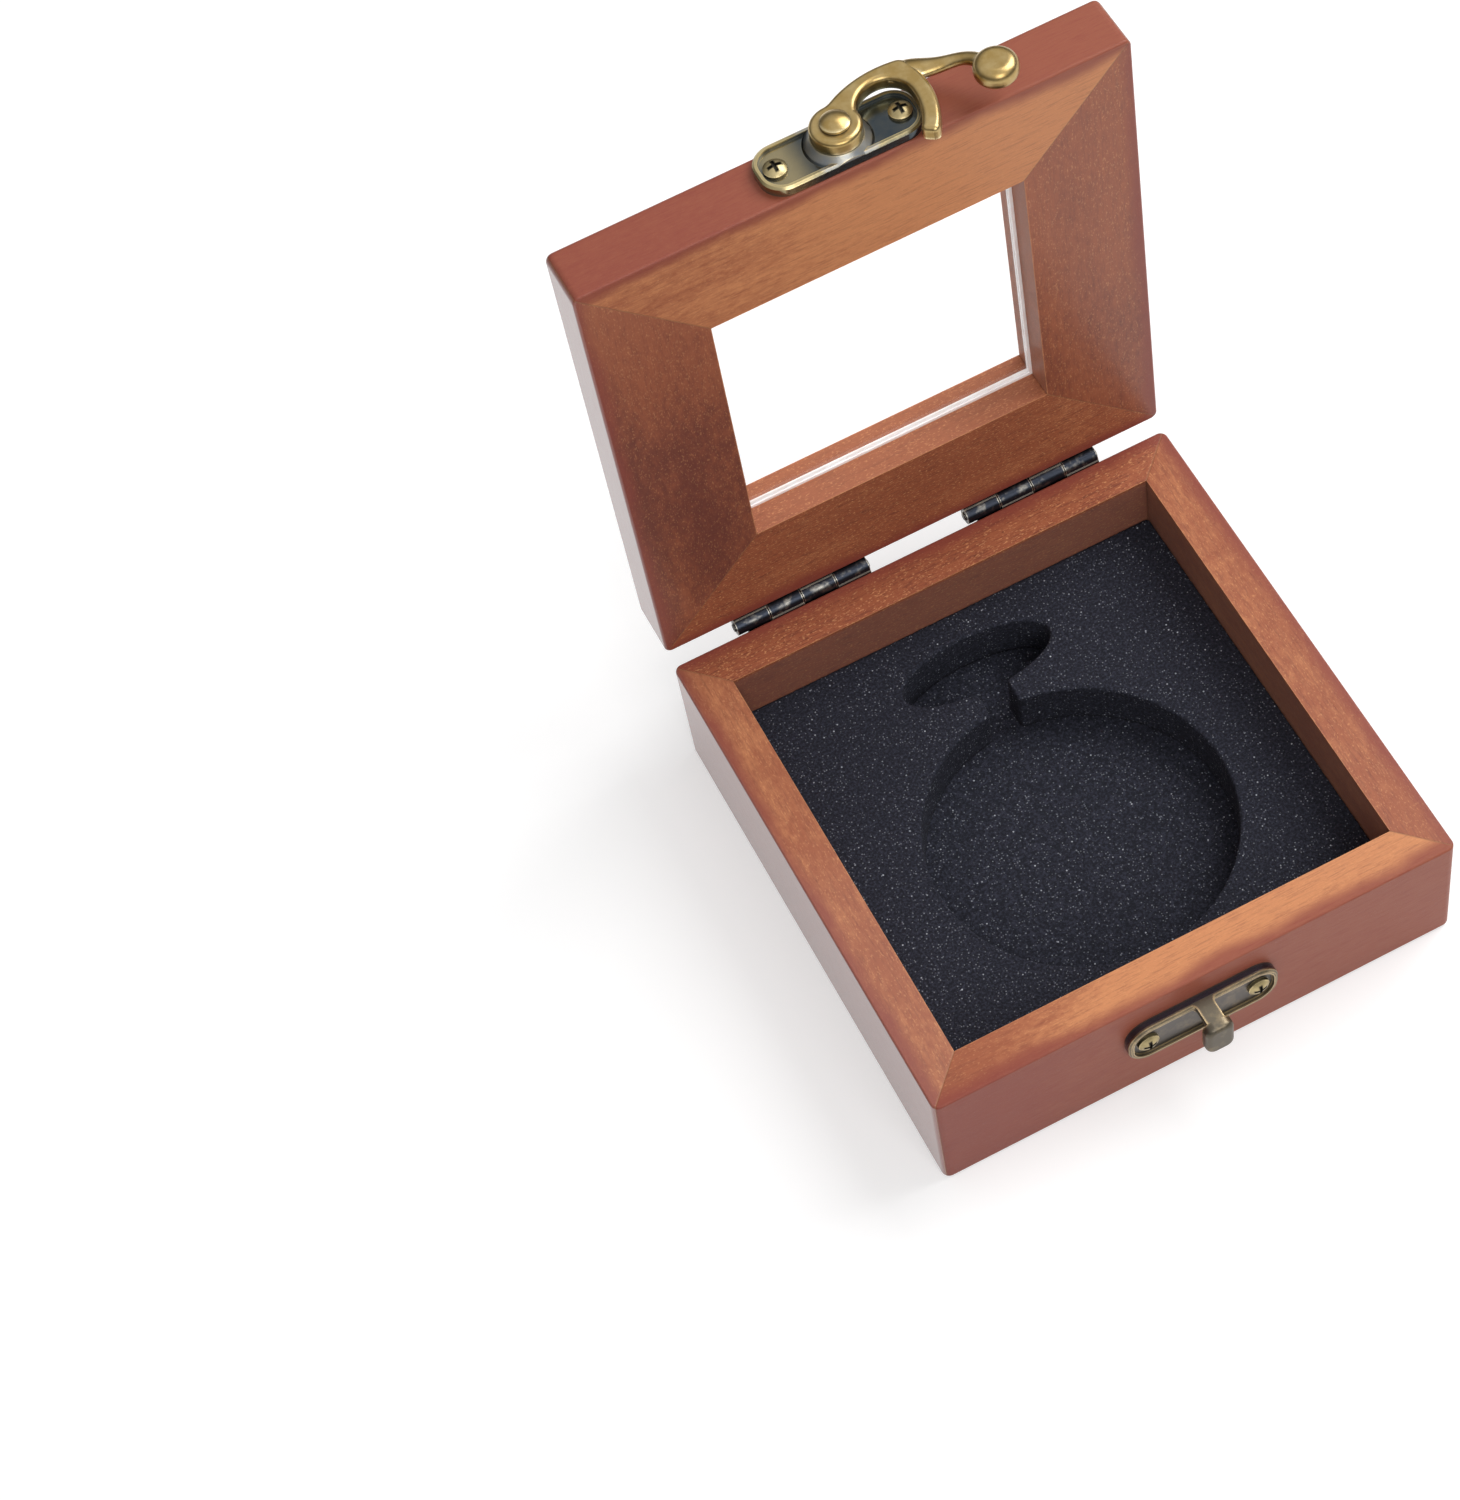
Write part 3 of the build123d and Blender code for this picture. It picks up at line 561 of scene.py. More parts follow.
# %% The fittings' colours
# each one's hollows, faces and worn metal
BRASS_WORN = (0.960, 0.780, 0.420, 1.0)
LATCH_SKINS = ((0.085, 0.102, 0.108, 1.0), (0.180, 0.165, 0.105, 1.0), (0.560, 0.450, 0.230, 1.0))
CATCH_SKINS = ((0.026, 0.028, 0.027, 1.0), (0.120, 0.103, 0.078, 1.0), (0.920, 0.680, 0.360, 1.0))
HOOK_SKINS = ((0.026, 0.023, 0.020, 1.0), (0.385, 0.262, 0.095, 1.0), (1.000, 0.870, 0.540, 1.0))
SCREW_SKINS = ((0.014, 0.014, 0.013, 1.0), (0.330, 0.265, 0.135, 1.0), BRASS_WORN)
BRONZE_SKINS = ((0.008, 0.009, 0.012, 1.0), (0.034, 0.039, 0.052, 1.0), (0.780, 0.720, 0.600, 1.0))
LATCH_FIELD = (0.050, 0.064, 0.076, 1.0)
CATCH_FIELD = (0.078, 0.084, 0.118, 1.0)
BOSS_STEEL = (0.250, 0.265, 0.280, 1.0)

# %% Dress the latch and the catch
# how far a plate's stamped field, its raised rim and its boss stand above the wood, in millimetres
FIELD_LEVEL = 1.1
RIM_LEVEL = 1.7
BOSS_LEVEL = 3.0
FIELD_EDGE = (FIELD_LEVEL + RIM_LEVEL) / 2
BOSS_RADIUS = 6.4
RUBBED_START, RUBBED_FULL = 9.0, 4.0

hook_place = Vector(hook_joint["pos_m"]) / MM
base_front = Vector((0.0, -1.0, 0.0))
lid_front = Matrix.Rotation(-lid_opening, 3, "X") @ base_front
lid_front_level = lid_front.dot(hook_place)
print("lid front faces", [round(part, 3) for part in lid_front], "level, mm:", round(lid_front_level, 2))
lid_field = (lid_front, lid_front_level + FIELD_EDGE, LATCH_FIELD)

# the catch's level is counted from the wall's end, so its ground keeps some of the raised skin's brown
base_field = (base_front, side_wall_end / MM + FIELD_EDGE, CATCH_FIELD)
boss = (tuple(hook_place + BOSS_LEVEL * lid_front), BOSS_RADIUS, BOSS_STEEL)
latch_left = node_span("latch_plate")[0][0] / MM
latch_end = (latch_left + RUBBED_START, latch_left + RUBBED_FULL)

# each finish's skins, wear, roughness, seed, patchiness and reach of wear in millimetres
latch_places = {"field": lid_field, "boss": boss, "rubbed_end": latch_end}
latch_brass = (LATCH_SKINS, 0.55, 0.24, 3.0, 0.9, 0.45)
catch_brass = (CATCH_SKINS, 0.40, 0.26, 7.0, 0.6, 0.55)
hook_brass = (HOOK_SKINS, 0.46, 0.16, 11.0, 0.5, 0.95)
paint(aged_metal("antique_brass_latch", *latch_brass, **latch_places), "latch_plate")
paint(aged_metal("antique_brass_catch", *catch_brass, field=base_field), "catch_plate")
paint(aged_metal("antique_brass_hook", *hook_brass), "latch_hook", "latch_rivet")


# %% Dress the screws and the hinges
def screw_cross(plate, screws, face, head_radius):
    """The axes, middles and half spacing of a plate's two screws, in millimetres.

    The screws stand near the two ends of their plate, and each reaches a head's radius past its middle.
    """
    level = Vector((1.0, 0.0, 0.0))
    axes = (level, level.cross(face))
    low, high = node_span(plate)
    middle = Vector((low + high) / 2) / MM
    screw_low, screw_high = node_span(screws)
    half_spacing = (screw_high[0] - screw_low[0]) / 2 / MM - head_radius
    return axes, [middle.dot(axis) for axis in axes], half_spacing


screw_brass = (SCREW_SKINS, 0.55, 0.26, 19.0, 0.8, 0.35)
hinge_bronze = (BRONZE_SKINS, 0.38, 0.20, 29.0, 1.5, 0.32)
catch_screw_low, catch_screw_high = node_span("catch_screws")
head_radius = (catch_screw_high[2] - catch_screw_low[2]) / 2 / MM
for part, face in (("latch", lid_front), ("catch", base_front)):
    screws = part + "_screws"
    cross = screw_cross(part + "_plate", screws, face, head_radius)
    print(screws, "middles, mm:", cross[1], "half spacing:", cross[2], "head radius:", head_radius)
    paint(aged_metal("antique_brass_" + screws, *screw_brass, cross=cross), screws)
hinge_parts = [name for name in nodes if name.startswith("hinge_")]
paint(aged_metal("blackened_bronze", *hinge_bronze), *hinge_parts)
print("hinge parts:", len(hinge_parts))


# %% [markdown]
# ## Glass and its clear channel
#
# The pane is plain thin glass. A path tracer gives solid glass a dark shadow, because light bent through
# it seldom finds a lamp, so the glass is simply transparent to shadow rays. The channel that grips the
# pane is clear plastic; the thin bright line it makes along the foot of the window is painted light: a
# milky white colour and a faint glow.

# %% Glass and channel finishes
GLASS_SHADOW = (0.97, 0.985, 0.98, 1.0)
CHANNEL_ROSE = (0.95, 0.88, 0.86, 1.0)
CHANNEL_MILK = (1.0, 0.98, 0.97, 1.0)
# painted light: the channel's faint glow, though it is no lamp
CHANNEL_PAINTED_GLOW = (1.0, 0.97, 0.96, 1.0)
CHANNEL_WAVES_PER_MM = 0.35
CHANNEL_WAVE_DEPTH = 0.1


def glass_finish():
    """Clear glass that lets shadow rays straight through."""
    material, tree, shader, output = new_finish("window_glass")
    feed(tree, shader, Base_Color=WHITE, Roughness=0.0, Transmission_Weight=1.0, IOR=1.45)
    through = add_node(tree, "BsdfTransparent", Color=GLASS_SHADOW)
    shadow_ray = add_node(tree, "LightPath", output="Is Shadow Ray")
    mixed = add_node(tree, "MixShader", _0=shadow_ray, _1=shader.outputs[0], _2=through)
    tree.links.new(mixed, output.inputs["Surface"])
    return material


def channel_finish():
    """Milky glossy plastic with a painted glow: its colour and glow paint the light that a clear edge carries."""
    material, tree, shader, _ = new_finish("clear_channel")
    waves = cloud(tree, place_in_mm(tree), CHANNEL_WAVES_PER_MM)
    bump = add_node(tree, "Bump", Strength=0.3, Distance=CHANNEL_WAVE_DEPTH * MM, Height=waves)
    milk = blend_colours(tree, between(tree, waves, 0.35, 0.65), CHANNEL_ROSE, CHANNEL_MILK)
    feed(tree, shader, Base_Color=milk, Roughness=0.12, IOR=1.49, Normal=bump)
    feed(tree, shader, Coat_Weight=0.8, Coat_Roughness=0.05)
    # painted light: a faint glow that whitens the channel's line
    feed(tree, shader, Emission_Color=CHANNEL_PAINTED_GLOW, Emission_Strength=0.10)
    return material


paint(glass_finish(), "glass_pane")
paint(channel_finish(), "window_gasket")
print("finishes so far:", len(bpy.data.materials))


# %% [markdown]
# ## Black foam, cut for the watch
#
# The foam is open-cell sponge. A press knife has cut a round hole for the case, a slot for the stem and
# an oblong for the bow, and the cut edge rolls over a little where the knife pulled it down. It is built
# as a sheet with thickness: one outline for the cut, one for the outside, a fine mesh of triangles
# between them, and walls carried down from both. The layer under it has no hole, so a plain grid is
# enough there. Random but smooth heights then make both skins uneven.

# %% Foam outlines
foam_low, foam_high = node_span("foam_insert")
pad_low, pad_high = node_span("foam_base_pad")
pocket = next(mount for mount in frame["record"]["mounts"] if mount["name"] == "watch_pocket")
POCKET_CENTRE_Y = pocket["pos_m"][1]
POCKET_RADIUS = pocket["dims"]["r_mm"] * MM
BOW_HALF_LENGTH = 13.3 * MM
BOW_HALF_WIDTH = 5.2 * MM
BOW_CENTRE_Y = POCKET_RADIUS - POCKET_CENTRE_Y - BOW_HALF_WIDTH
SLOT_HALF_WIDTH = 2.6 * MM
OUTLINE_STEP = 0.35 * MM
SKIN_STEP = 0.45 * MM
ARC_POINTS = 400
OBLONG_POINTS = 300
CORNER_POINTS = 8
EASING_PASSES = 6


def evenly_spaced(points, step):
    """Points spaced evenly along a closed line: each is found by its distance along the line's edges."""
    closed = np.vstack([points, points[:1]])
    lengths = np.hypot(*np.diff(closed, axis=0).T)
    travelled = np.concatenate([[0.0], np.cumsum(lengths)])
    count = int(round(travelled[-1] / step))
    wanted = np.linspace(0.0, travelled[-1], count, endpoint=False)
    return np.column_stack([np.interp(wanted, travelled, closed[:, axis]) for axis in (0, 1)])


def eased(points, passes):
    """Corners eased by moving each point halfway to the middle of its two neighbours, pass after pass."""
    for _ in range(passes):
        points = 0.5 * points + 0.25 * (np.roll(points, 1, axis=0) + np.roll(points, -1, axis=0))
    return points


def cut_outline():
    """The press knife's line: a circle's arc, the slot's side, an ellipse's arc and their mirror image.

    A circle's point at angle a is its centre plus radius times (cos a, sin a), and an ellipse's is its
    centre plus (half length times cos a, half width times sin a).
    """
    mouth = math.acos(SLOT_HALF_WIDTH / POCKET_RADIUS)
    round_part = np.linspace(-math.pi / 2, mouth, ARC_POINTS)
    circle = np.column_stack([np.cos(round_part), np.sin(round_part)]) * POCKET_RADIUS
    circle[:, 1] += POCKET_CENTRE_Y
    entry = math.acos(SLOT_HALF_WIDTH / BOW_HALF_LENGTH)
    oblong_part = np.linspace(-entry, math.pi / 2, OBLONG_POINTS)
    oblong = np.column_stack([np.cos(oblong_part), np.sin(oblong_part)])
    oblong *= (BOW_HALF_LENGTH, BOW_HALF_WIDTH)
    oblong[:, 1] += BOW_CENTRE_Y
    right = np.vstack([circle, oblong])
    left = right[-2:0:-1] * (-1.0, 1.0)
    return eased(evenly_spaced(np.vstack([right, left]), OUTLINE_STEP), EASING_PASSES)


def rectangle_outline(low, high, radius, step):
    """A rectangle with rounded corners, taken anticlockwise and spaced evenly."""
    turns = np.linspace(0.0, math.pi / 2, CORNER_POINTS)
    corners = [(high[0], high[1], 0), (low[0], high[1], 1), (low[0], low[1], 2), (high[0], low[1], 3)]
    points = []
    for x, y, quarter in corners:
        centre = np.array([x - math.copysign(radius, x), y - math.copysign(radius, y)])
        angles = turns + quarter * math.pi / 2
        points.append(centre + radius * np.column_stack([np.cos(angles), np.sin(angles)]))
    return evenly_spaced(np.vstack(points), step)


def outward(points):
    """Unit vectors out of an anticlockwise closed line: its direction, turned a quarter clockwise."""
    along = np.roll(points, -1, axis=0) - np.roll(points, 1, axis=0)
    along /= np.linalg.norm(along, axis=1, keepdims=True)
    return np.column_stack([along[:, 1], -along[:, 0]])


cut_line = cut_outline()
print("knife line points:", len(cut_line), "length, mm:", round(len(cut_line) * OUTLINE_STEP / MM, 1))


# %% Smooth random heights
LATTICE = 64
COARSE_SHARE = 0.6
FINE_CELL = 0.45
SINKING = 0.9


def smooth_noise(places, cell, seed):
    """Smooth random heights from -1 to 1: random values on a cubic lattice, blended by smooth steps.

    A smooth step of a part p is p times p times (3 - 2p). The lattice repeats after LATTICE cells.
    """
    table = np.random.default_rng(seed).uniform(-1.0, 1.0, (LATTICE, LATTICE, LATTICE))
    in_cells = np.asarray(places) / cell
    base = np.floor(in_cells).astype(int)
    part = in_cells - base
    part = part * part * (3.0 - 2.0 * part)
    total = np.zeros(len(in_cells))
    for corner in np.ndindex(2, 2, 2):
        weight = np.prod(np.where(corner, part, 1.0 - part), axis=1)
        index = (base + corner) % LATTICE
        total += weight * table[index[:, 0], index[:, 1], index[:, 2]]
    return total


def roughen(piece, low, high, amount, cell, seed):
    """Push every point along its normal by smooth noise, and keep it within the node's box.

    A point moves by amount times (height - SINKING), so most points sink and few rise.
    """
    mesh = piece.data
    count = len(mesh.vertices)
    points = np.empty(3 * count)
    normals = np.empty(3 * count)
    mesh.vertices.foreach_get("co", points)
    mesh.vertices.foreach_get("normal", normals)
    points = points.reshape(-1, 3)
    normals = normals.reshape(-1, 3)
    coarse = smooth_noise(points, cell, seed)
    fine = smooth_noise(points, cell * FINE_CELL, seed + 1)
    height = COARSE_SHARE * coarse + (1.0 - COARSE_SHARE) * fine
    points += normals * (amount * (height[:, None] - SINKING))
    np.clip(points, low, high, out=points)
    mesh.vertices.foreach_set("co", points.ravel())
    mesh.update()


print("random values in the lattice:", LATTICE**3)


# %% Mesh makers
WELD = 0.002 * MM


def make_mesh(name, points, faces, smooth=True):
    """A mesh object from whole arrays of points and faces, at the origin."""
    mesh = bpy.data.meshes.new(name)
    mesh.from_pydata(points.tolist(), [], [list(map(int, face)) for face in faces])
    mesh.validate()
    mesh.polygons.foreach_set("use_smooth", [smooth] * len(mesh.polygons))
    made = bpy.data.objects.new(name, mesh)
    bpy.context.scene.collection.objects.link(made)
    return made


def wall_faces(rows, columns, first, flip=False):
    """Squares of a closed strip: rows of columns points, numbered from first, each row a closed line."""
    row, column = np.meshgrid(np.arange(rows - 1), np.arange(columns), indexing="ij")
    a = first + row * columns + column
    b = first + row * columns + (column + 1) % columns
    quads = np.stack([a, b, b + columns, a + columns], axis=-1).reshape(-1, 4)
    return quads[:, ::-1] if flip else quads


def merged(name, pieces):
    """One closed object from grids whose edges meet: doubled points are joined, faces turned outward."""
    points, faces, start = [], [], 0
    for piece_points, piece_faces in pieces:
        points.append(piece_points)
        faces.extend([face + start for face in piece_faces])
        start += len(piece_points)
    made = make_mesh(name, np.vstack(points), faces)
    work = bmesh.new()
    work.from_mesh(made.data)
    bmesh.ops.remove_doubles(work, verts=work.verts, dist=WELD)
    bmesh.ops.recalc_face_normals(work, faces=work.faces)
    work.to_mesh(made.data)
    work.free()
    return made


print("points are joined when closer than, mm:", WELD / MM)


# %% The cut layer of foam
LIP = 0.55 * MM
LIP_STEPS = 6
WALL_STEPS = 16
CORNER_RADIUS = 0.6 * MM

# the skin's grid: rows apart, first and last gaps at the outside and the gap at the cut, all in steps
ROW_SPACING = 0.87
FIRST_GAP = 0.6
LAST_GAP = 0.4
CUT_GAP = 0.55

# triangles whose middles are closer to the hole than this are dropped
DROP_MARGIN = 0.8 * LIP

# delaunay_2d_cdt: keep what lies inside the outlines, and treat points this close as one
KEEP_INSIDE = 1
SAME_POINT = 1e-9

# how high the skin's roughness is, and how long its waves
FOAM_ROUGHNESS = 0.07 * MM
FOAM_WAVES = 0.9 * MM
FOAM_SEED = 41


def inside_cut(points, margin):
    """True for points in the hole or closer to it than the margin."""
    x, y = points.T
    in_circle = np.hypot(x, y - POCKET_CENTRE_Y) < POCKET_RADIUS + margin
    oblong = np.hypot(x / (BOW_HALF_LENGTH + margin), (y - BOW_CENTRE_Y) / (BOW_HALF_WIDTH + margin))
    in_slot = (np.abs(x) < SLOT_HALF_WIDTH + margin) & (y > POCKET_CENTRE_Y) & (y < BOW_CENTRE_Y)
    return in_circle | (oblong < 1.0) | in_slot


def foam_skin(inner, outer, step):
    """Triangles between an inner and an outer closed line, with a staggered grid of points between."""
    low, high = outer.min(axis=0), outer.max(axis=0)
    rows = np.arange(low[1] + FIRST_GAP * step, high[1] - LAST_GAP * step, step * ROW_SPACING)
    grid = []
    for row, y in enumerate(rows):
        stagger = 0.5 * (row % 2)
        x = np.arange(low[0] + (FIRST_GAP + stagger) * step, high[0] - LAST_GAP * step, step)
        grid.append(np.column_stack([x, np.full(len(x), y)]))
    grid = np.vstack(grid)
    grid = grid[~inside_cut(grid, LIP + CUT_GAP * step)]
    flat = np.vstack([inner, outer, grid])
    ring_in = [(i, (i + 1) % len(inner)) for i in range(len(inner))]
    ring_out = [(len(inner) + i, len(inner) + (i + 1) % len(outer)) for i in range(len(outer))]
    places = [tuple(place) for place in flat]
    found = delaunay_2d_cdt(places, ring_in + ring_out, [], KEEP_INSIDE, SAME_POINT)
    points = np.array([tuple(place) for place in found[0]])
    faces = np.array(found[2])
    middles = points[faces].mean(axis=1)
    return points, faces[~inside_cut(middles, DROP_MARGIN)]


def foam_insert():
    """The cut layer: its skin, the rolled lip and wall of the cut, its outer sides and its underside.

    The lip is a quarter circle: at angle a its point lies LIP times (1 - sin a) out from the cut and
    LIP times (1 - cos a) below the skin.
    """
    top, bottom = foam_high[2], foam_low[2]
    outer = rectangle_outline(foam_low, foam_high, CORNER_RADIUS, 2.0 * OUTLINE_STEP)
    away = outward(cut_line)
    inner = cut_line + away * LIP
    flat, skin = foam_skin(inner, outer, SKIN_STEP)

    angle = np.linspace(0.0, math.pi / 2, LIP_STEPS)
    lip_out = LIP * (1.0 - np.sin(angle))
    lip_z = top - LIP * (1.0 - np.cos(angle))
    wall_z = np.linspace(top - LIP, bottom, WALL_STEPS)[1:]
    offsets = np.concatenate([lip_out, np.zeros(WALL_STEPS - 1)])
    heights = np.concatenate([lip_z, wall_z])
    ring = cut_line[None, :, :] + offsets[:, None, None] * away[None, :, :]
    ring_z = np.repeat(heights[:, None], len(cut_line), axis=1)
    wall = np.concatenate([ring, ring_z[..., None]], axis=-1).reshape(-1, 3)

    side_z = np.repeat(np.array([top, bottom])[:, None], len(outer), axis=1)
    side = np.concatenate([np.repeat(outer[None], 2, axis=0), side_z[..., None]], axis=-1).reshape(-1, 3)

    def layer(z):
        return np.column_stack([flat, np.full(len(flat), z)])

    floor_ring = np.column_stack([inner, np.full(len(inner), bottom)])
    floor_edge = np.column_stack([cut_line, np.full(len(cut_line), bottom)])
    pieces = [
        (layer(top), skin),
        (layer(bottom), skin[:, ::-1]),
        (wall, wall_faces(len(heights), len(cut_line), 0)),
        (side, wall_faces(2, len(outer), 0)),
        (np.vstack([floor_ring, floor_edge]), wall_faces(2, len(cut_line), 0)),
    ]
    return merged("foam_insert_soft", pieces)


foam = foam_insert()
roughen(foam, foam_low, foam_high, FOAM_ROUGHNESS, FOAM_WAVES, FOAM_SEED)
print("foam insert: points", len(foam.data.vertices), "faces", len(foam.data.polygons))


# %% The backing layer
PAD_STEP = 0.8 * MM
PAD_ROUGHNESS = 0.10 * MM
PAD_WAVES = 1.1 * MM
PAD_SEED = 43


def grid_line(low, high, step):
    """Even places from low to high, about a step apart, with both ends doubled."""
    count = len(np.arange(low, high + 0.5 * step, step))
    return np.concatenate([[low], np.linspace(low, high, count), [high]])


def soft_slab(name, low, high, step):
    """A closed slab whose top is a fine grid: its outermost lines are turned down to the underside."""
    x = grid_line(low[0], high[0], step)
    y = grid_line(low[1], high[1], step)
    across, along = np.meshgrid(x, y, indexing="xy")
    z = np.full(across.shape, high[2])
    z[0, :] = z[-1, :] = low[2]
    z[:, 0] = z[:, -1] = low[2]
    points = np.column_stack([across.ravel(), along.ravel(), z.ravel()])
    rows, columns = across.shape
    row, column = np.meshgrid(np.arange(rows - 1), np.arange(columns - 1), indexing="ij")
    a = row * columns + column
    top = np.stack([a, a + 1, a + columns + 1, a + columns], axis=-1).reshape(-1, 4)
    corners = np.array([[low[0], low[1]], [low[0], high[1]], [high[0], high[1]], [high[0], low[1]]])
    under = np.column_stack([corners, np.full(4, low[2])])
    return merged(name, [(points, top), (under, np.array([[0, 1, 2, 3]]))])


pad = soft_slab("foam_base_pad_soft", pad_low, pad_high, PAD_STEP)
roughen(pad, pad_low, pad_high, PAD_ROUGHNESS, PAD_WAVES, PAD_SEED)
print("backing layer: points", len(pad.data.vertices))


# %% Foam finish
FOAM_BLACK = (0.0095, 0.0105, 0.0170, 1.0)
FOAM_GREY = (0.035, 0.037, 0.056, 1.0)
# the colour of the painted glints
FOAM_GLINT = (0.62, 0.66, 0.74, 1.0)
WEBS_PER_MM = 2.3
WEB_START, WEB_FULL = 0.40, 0.68
CELL_DEPTH = 0.4

# fine and coarse painted glints: spacing and size in millimetres, the share of cells with one, and strength
GLINTS = ((0.46, 0.15, 0.55, 0.36), (1.05, 0.17, 0.30, 0.95))
GLINT_CORE = 0.45
FAINTEST_GLINT = 0.2


def glints(tree, place, spacing, size, share):
    """Painted glints, small bright dots: near the middle of a random cell, in the given share of all the cells.

    A dot is full within GLINT_CORE of its size, and its brightness is random from FAINTEST_GLINT to 1.
    """
    options = {"voronoi_dimensions": "3D", "feature": "F1"}
    distance = add_node(tree, "TexVoronoi", options, Vector=place, Scale=1.0 / spacing)
    lots = add_node(tree, "SeparateColor", Color=distance.node.outputs["Color"]).node.outputs
    chosen = calc(tree, "LESS_THAN", lots[0], share)
    near = between(tree, distance, size / spacing, GLINT_CORE * size / spacing)
    brightness = scaled(tree, lots[1], 1.0 - FAINTEST_GLINT, FAINTEST_GLINT)
    return calc(tree, "MULTIPLY", calc(tree, "MULTIPLY", near, chosen), brightness)


def foam_finish(name, shift_mm):
    """Matt black sponge: dark cells, a greyer web between them, and painted glints for the light its cells catch.
    """
    material, tree, shader, _ = new_finish(name)
    place = place_in_mm(tree, offset_mm=(shift_mm, shift_mm, shift_mm))
    web = cloud(tree, place, WEBS_PER_MM, 3.0, 0.7)
    colour = blend_colours(tree, between(tree, web, WEB_START, WEB_FULL), FOAM_BLACK, FOAM_GREY)
    sparkle = 0.0
    for spacing, size, share, strength in GLINTS:
        sparkle = scaled(tree, glints(tree, place, spacing, size, share), strength, sparkle, clamp=True)
    colour = blend_colours(tree, sparkle, colour, FOAM_GLINT)
    bump = add_node(tree, "Bump", Strength=0.8, Distance=CELL_DEPTH * MM, Height=web)
    feed(tree, shader, Base_Color=colour, Roughness=0.88, Normal=bump, Specular_IOR_Level=0.25)
    return material


sponge = foam_finish("black_sponge", shift_mm=5.0)
for piece, name in ((foam, "foam_insert"), (pad, "foam_base_pad")):
    piece.data.materials.append(sponge)
    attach(piece, "base")
    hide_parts(name)
print("foam pieces finished:", foam.name, pad.name)


# %% [markdown]
# ## Floor, light and camera
#
# The box stands on a plain white sweep. The floor's own colour is pale, and only what the camera, a
# mirror or the glass sees of it is lifted to white, so it throws no extra light on the box and keeps its
# shadow. One broad lamp overhead to the right models the faces, a second opens up the front, and the sky
# fills in.

# %% Floor
FLOOR_HALF = 3.0
FLOOR_GREY = 0.68

# the paper's unevenness: what it adds to the grey, and its repeats per millimetre
UNEVEN_GREY = 0.01
UNEVEN_PER_MM = 0.01

# the light added to what the camera sees of it, near the box and far off, and where it rises, in mm
NEAR_LIFT, FAR_LIFT = 0.44, 0.90
LIFT_START, LIFT_END = 250.0, 900.0

# the light added to what a mirror and the glass see of it
MIRROR_LIFT = 0.44
GLASS_LIFT = 0.56


def floor_finish():
    """Pale matt paper, lifted to white for the rays that show it, and more so towards its far edges."""
    material, tree, shader, output = new_finish("white_sweep")
    place = place_in_mm(tree)
    grey = scaled(tree, cloud(tree, place, UNEVEN_PER_MM), UNEVEN_GREY, FLOOR_GREY)
    colour = add_node(tree, "CombineColor", _0=grey, _1=grey, _2=grey)
    feed(tree, shader, Base_Color=colour, Roughness=0.9, Specular_IOR_Level=0.1)
    away = add_node(tree, "VectorMath", {"operation": "LENGTH"}, output="Value", _0=place)
    span = {"From_Min": LIFT_START, "From_Max": LIFT_END, "To_Min": NEAR_LIFT, "To_Max": FAR_LIFT}
    camera_lift = add_node(tree, "MapRange", Value=away, **span)
    path = add_node(tree, "LightPath").node.outputs
    seen = calc(tree, "MULTIPLY", path["Is Camera Ray"], camera_lift)
    seen = calc(tree, "MAXIMUM", seen, scaled(tree, path["Is Glossy Ray"], MIRROR_LIFT))
    seen = calc(tree, "MAXIMUM", seen, scaled(tree, path["Is Transmission Ray"], GLASS_LIFT))
    lift = add_node(tree, "Emission", Color=WHITE, Strength=seen)
    both = add_node(tree, "AddShader", _0=shader.outputs[0], _1=lift)
    tree.links.new(both, output.inputs["Surface"])
    return material


floor_corners = FLOOR_HALF * np.array([[-1, -1, 0], [1, -1, 0], [1, 1, 0], [-1, 1, 0]])
floor = make_mesh("floor", floor_corners, np.array([[0, 1, 2, 3]]), smooth=False)
floor.data.materials.append(floor_finish())
print("floor, metres:", 2 * FLOOR_HALF, "square")


# %% Lamps
BOX_MIDDLE = (0.0, 0.01, 0.04)


def softbox(name, place, aim, size, power):
    """A square area lamp at a place, turned to face the point it aims at, in metres and watts."""
    lamp = bpy.data.lights.new(name, "AREA")
    lamp.shape = "SQUARE"
    lamp.size = size
    lamp.energy = power
    made = bpy.data.objects.new(name, lamp)
    made.location = place
    made.rotation_mode = "QUATERNION"
    made.rotation_quaternion = (Vector(place) - Vector(aim)).to_track_quat("Z", "Y")
    bpy.context.scene.collection.objects.link(made)


softbox("side_softbox", (0.62, 0.12, 0.78), BOX_MIDDLE, size=0.70, power=7.0)
softbox("front_softbox", (-0.05, -0.80, 0.80), BOX_MIDDLE, size=0.60, power=4.2)
print("lamps:", len(bpy.data.lights))

# %% Sky
SKY_STRENGTH = 0.38

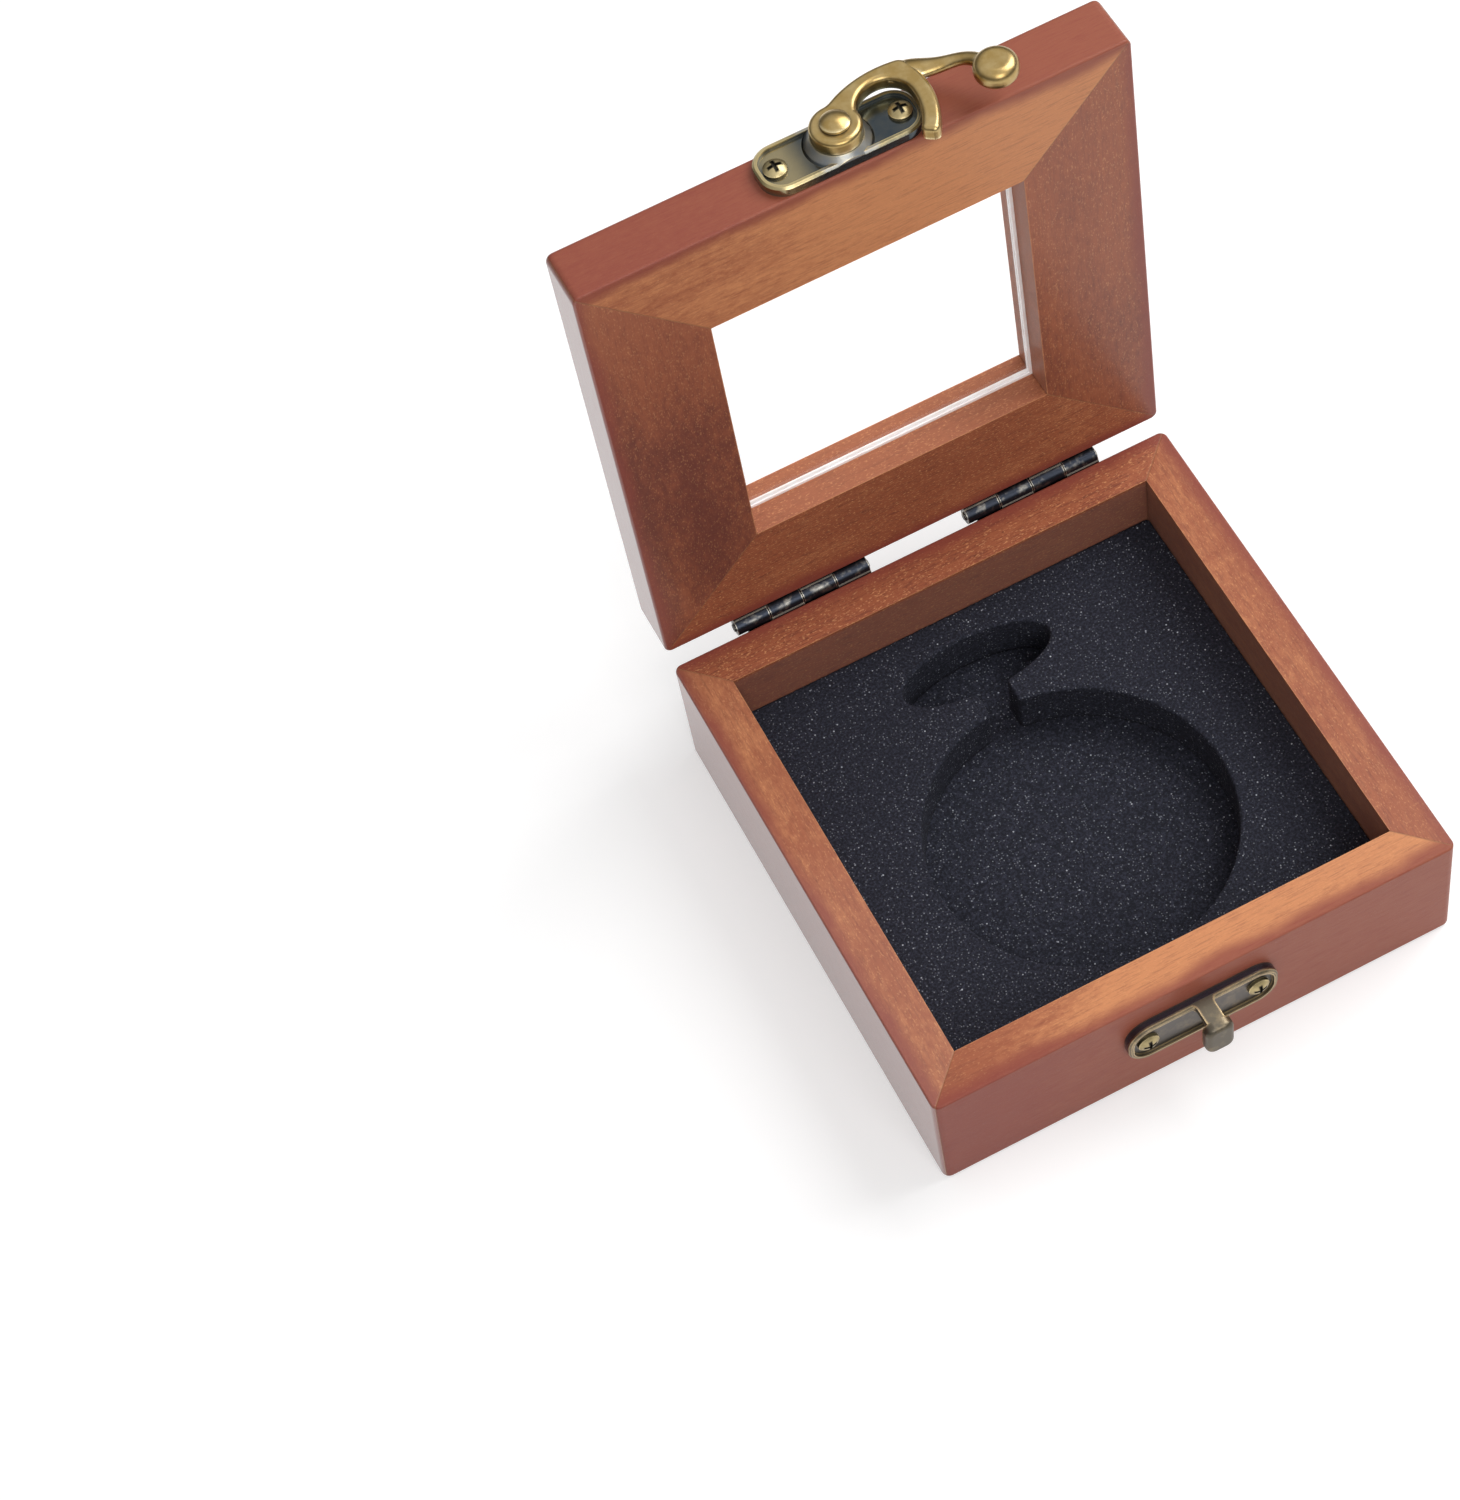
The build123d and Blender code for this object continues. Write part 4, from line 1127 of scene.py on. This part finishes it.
# what mirrors see: the sky's strength near the horizon, what it gains overhead, and where it rises
MIRRORED_LOW, MIRRORED_RISE = 0.06, 0.85
RISE_START, RISE_END = 0.10, 0.80


def studio_sky():
    """Even white light all round, plain white to the camera and through glass.

    Mirrors see it darker towards the horizon, which gives metal its contrast.
    """
    sky = bpy.data.worlds.new("studio_sky")
    sky.use_nodes = True
    tree = sky.node_tree
    direction = add_node(tree, "TexCoord", output="Generated")
    height = coordinates(tree, direction)[2]
    rise = between(tree, height, RISE_START, RISE_END)
    mirrored = scaled(tree, rise, MIRRORED_RISE, MIRRORED_LOW)
    path = add_node(tree, "LightPath").node.outputs
    options = {"data_type": "FLOAT"}
    strength = add_node(tree, "Mix", options, _0=path["Is Glossy Ray"], _2=SKY_STRENGTH, _3=mirrored)
    seen = calc(tree, "MAXIMUM", path["Is Camera Ray"], path["Is Transmission Ray"])
    strength = calc(tree, "MAXIMUM", strength, seen)
    feed(tree, tree.nodes["Background"], Color=WHITE, Strength=strength)
    bpy.context.scene.world = sky


studio_sky()
print("sky strength:", SKY_STRENGTH)

# %% Camera
CAMERA_PLACE = Vector((-0.1248, -0.2795, 0.5464))
CAMERA_AIM = Vector((-0.0463, 0.0171, 0.0411))
CAMERA_ROLL = math.radians(-13.32)
CAMERA_LENS = 92.5


def camera_turn(place, aim, roll):
    """The camera's rotation: its back points from aim to place, and its level right side is rolled."""
    back = (place - aim).normalized()
    level = Vector((0.0, 0.0, 1.0)).cross(back).normalized()
    lifted = back.cross(level)
    right = math.cos(roll) * level + math.sin(roll) * lifted
    return Matrix((right, back.cross(right), back)).transposed().to_quaternion()


camera_data = bpy.data.cameras.new("camera")
camera_data.lens = CAMERA_LENS
camera = bpy.data.objects.new("camera", camera_data)
camera.location = CAMERA_PLACE
camera.rotation_mode = "QUATERNION"
camera.rotation_quaternion = camera_turn(CAMERA_PLACE, CAMERA_AIM, CAMERA_ROLL)
bpy.context.scene.collection.objects.link(camera)
bpy.context.scene.camera = camera
bpy.context.scene.view_settings.view_transform = "Standard"
print("camera's distance, mm:", round((CAMERA_PLACE - CAMERA_AIM).length / MM), "lens:", CAMERA_LENS)
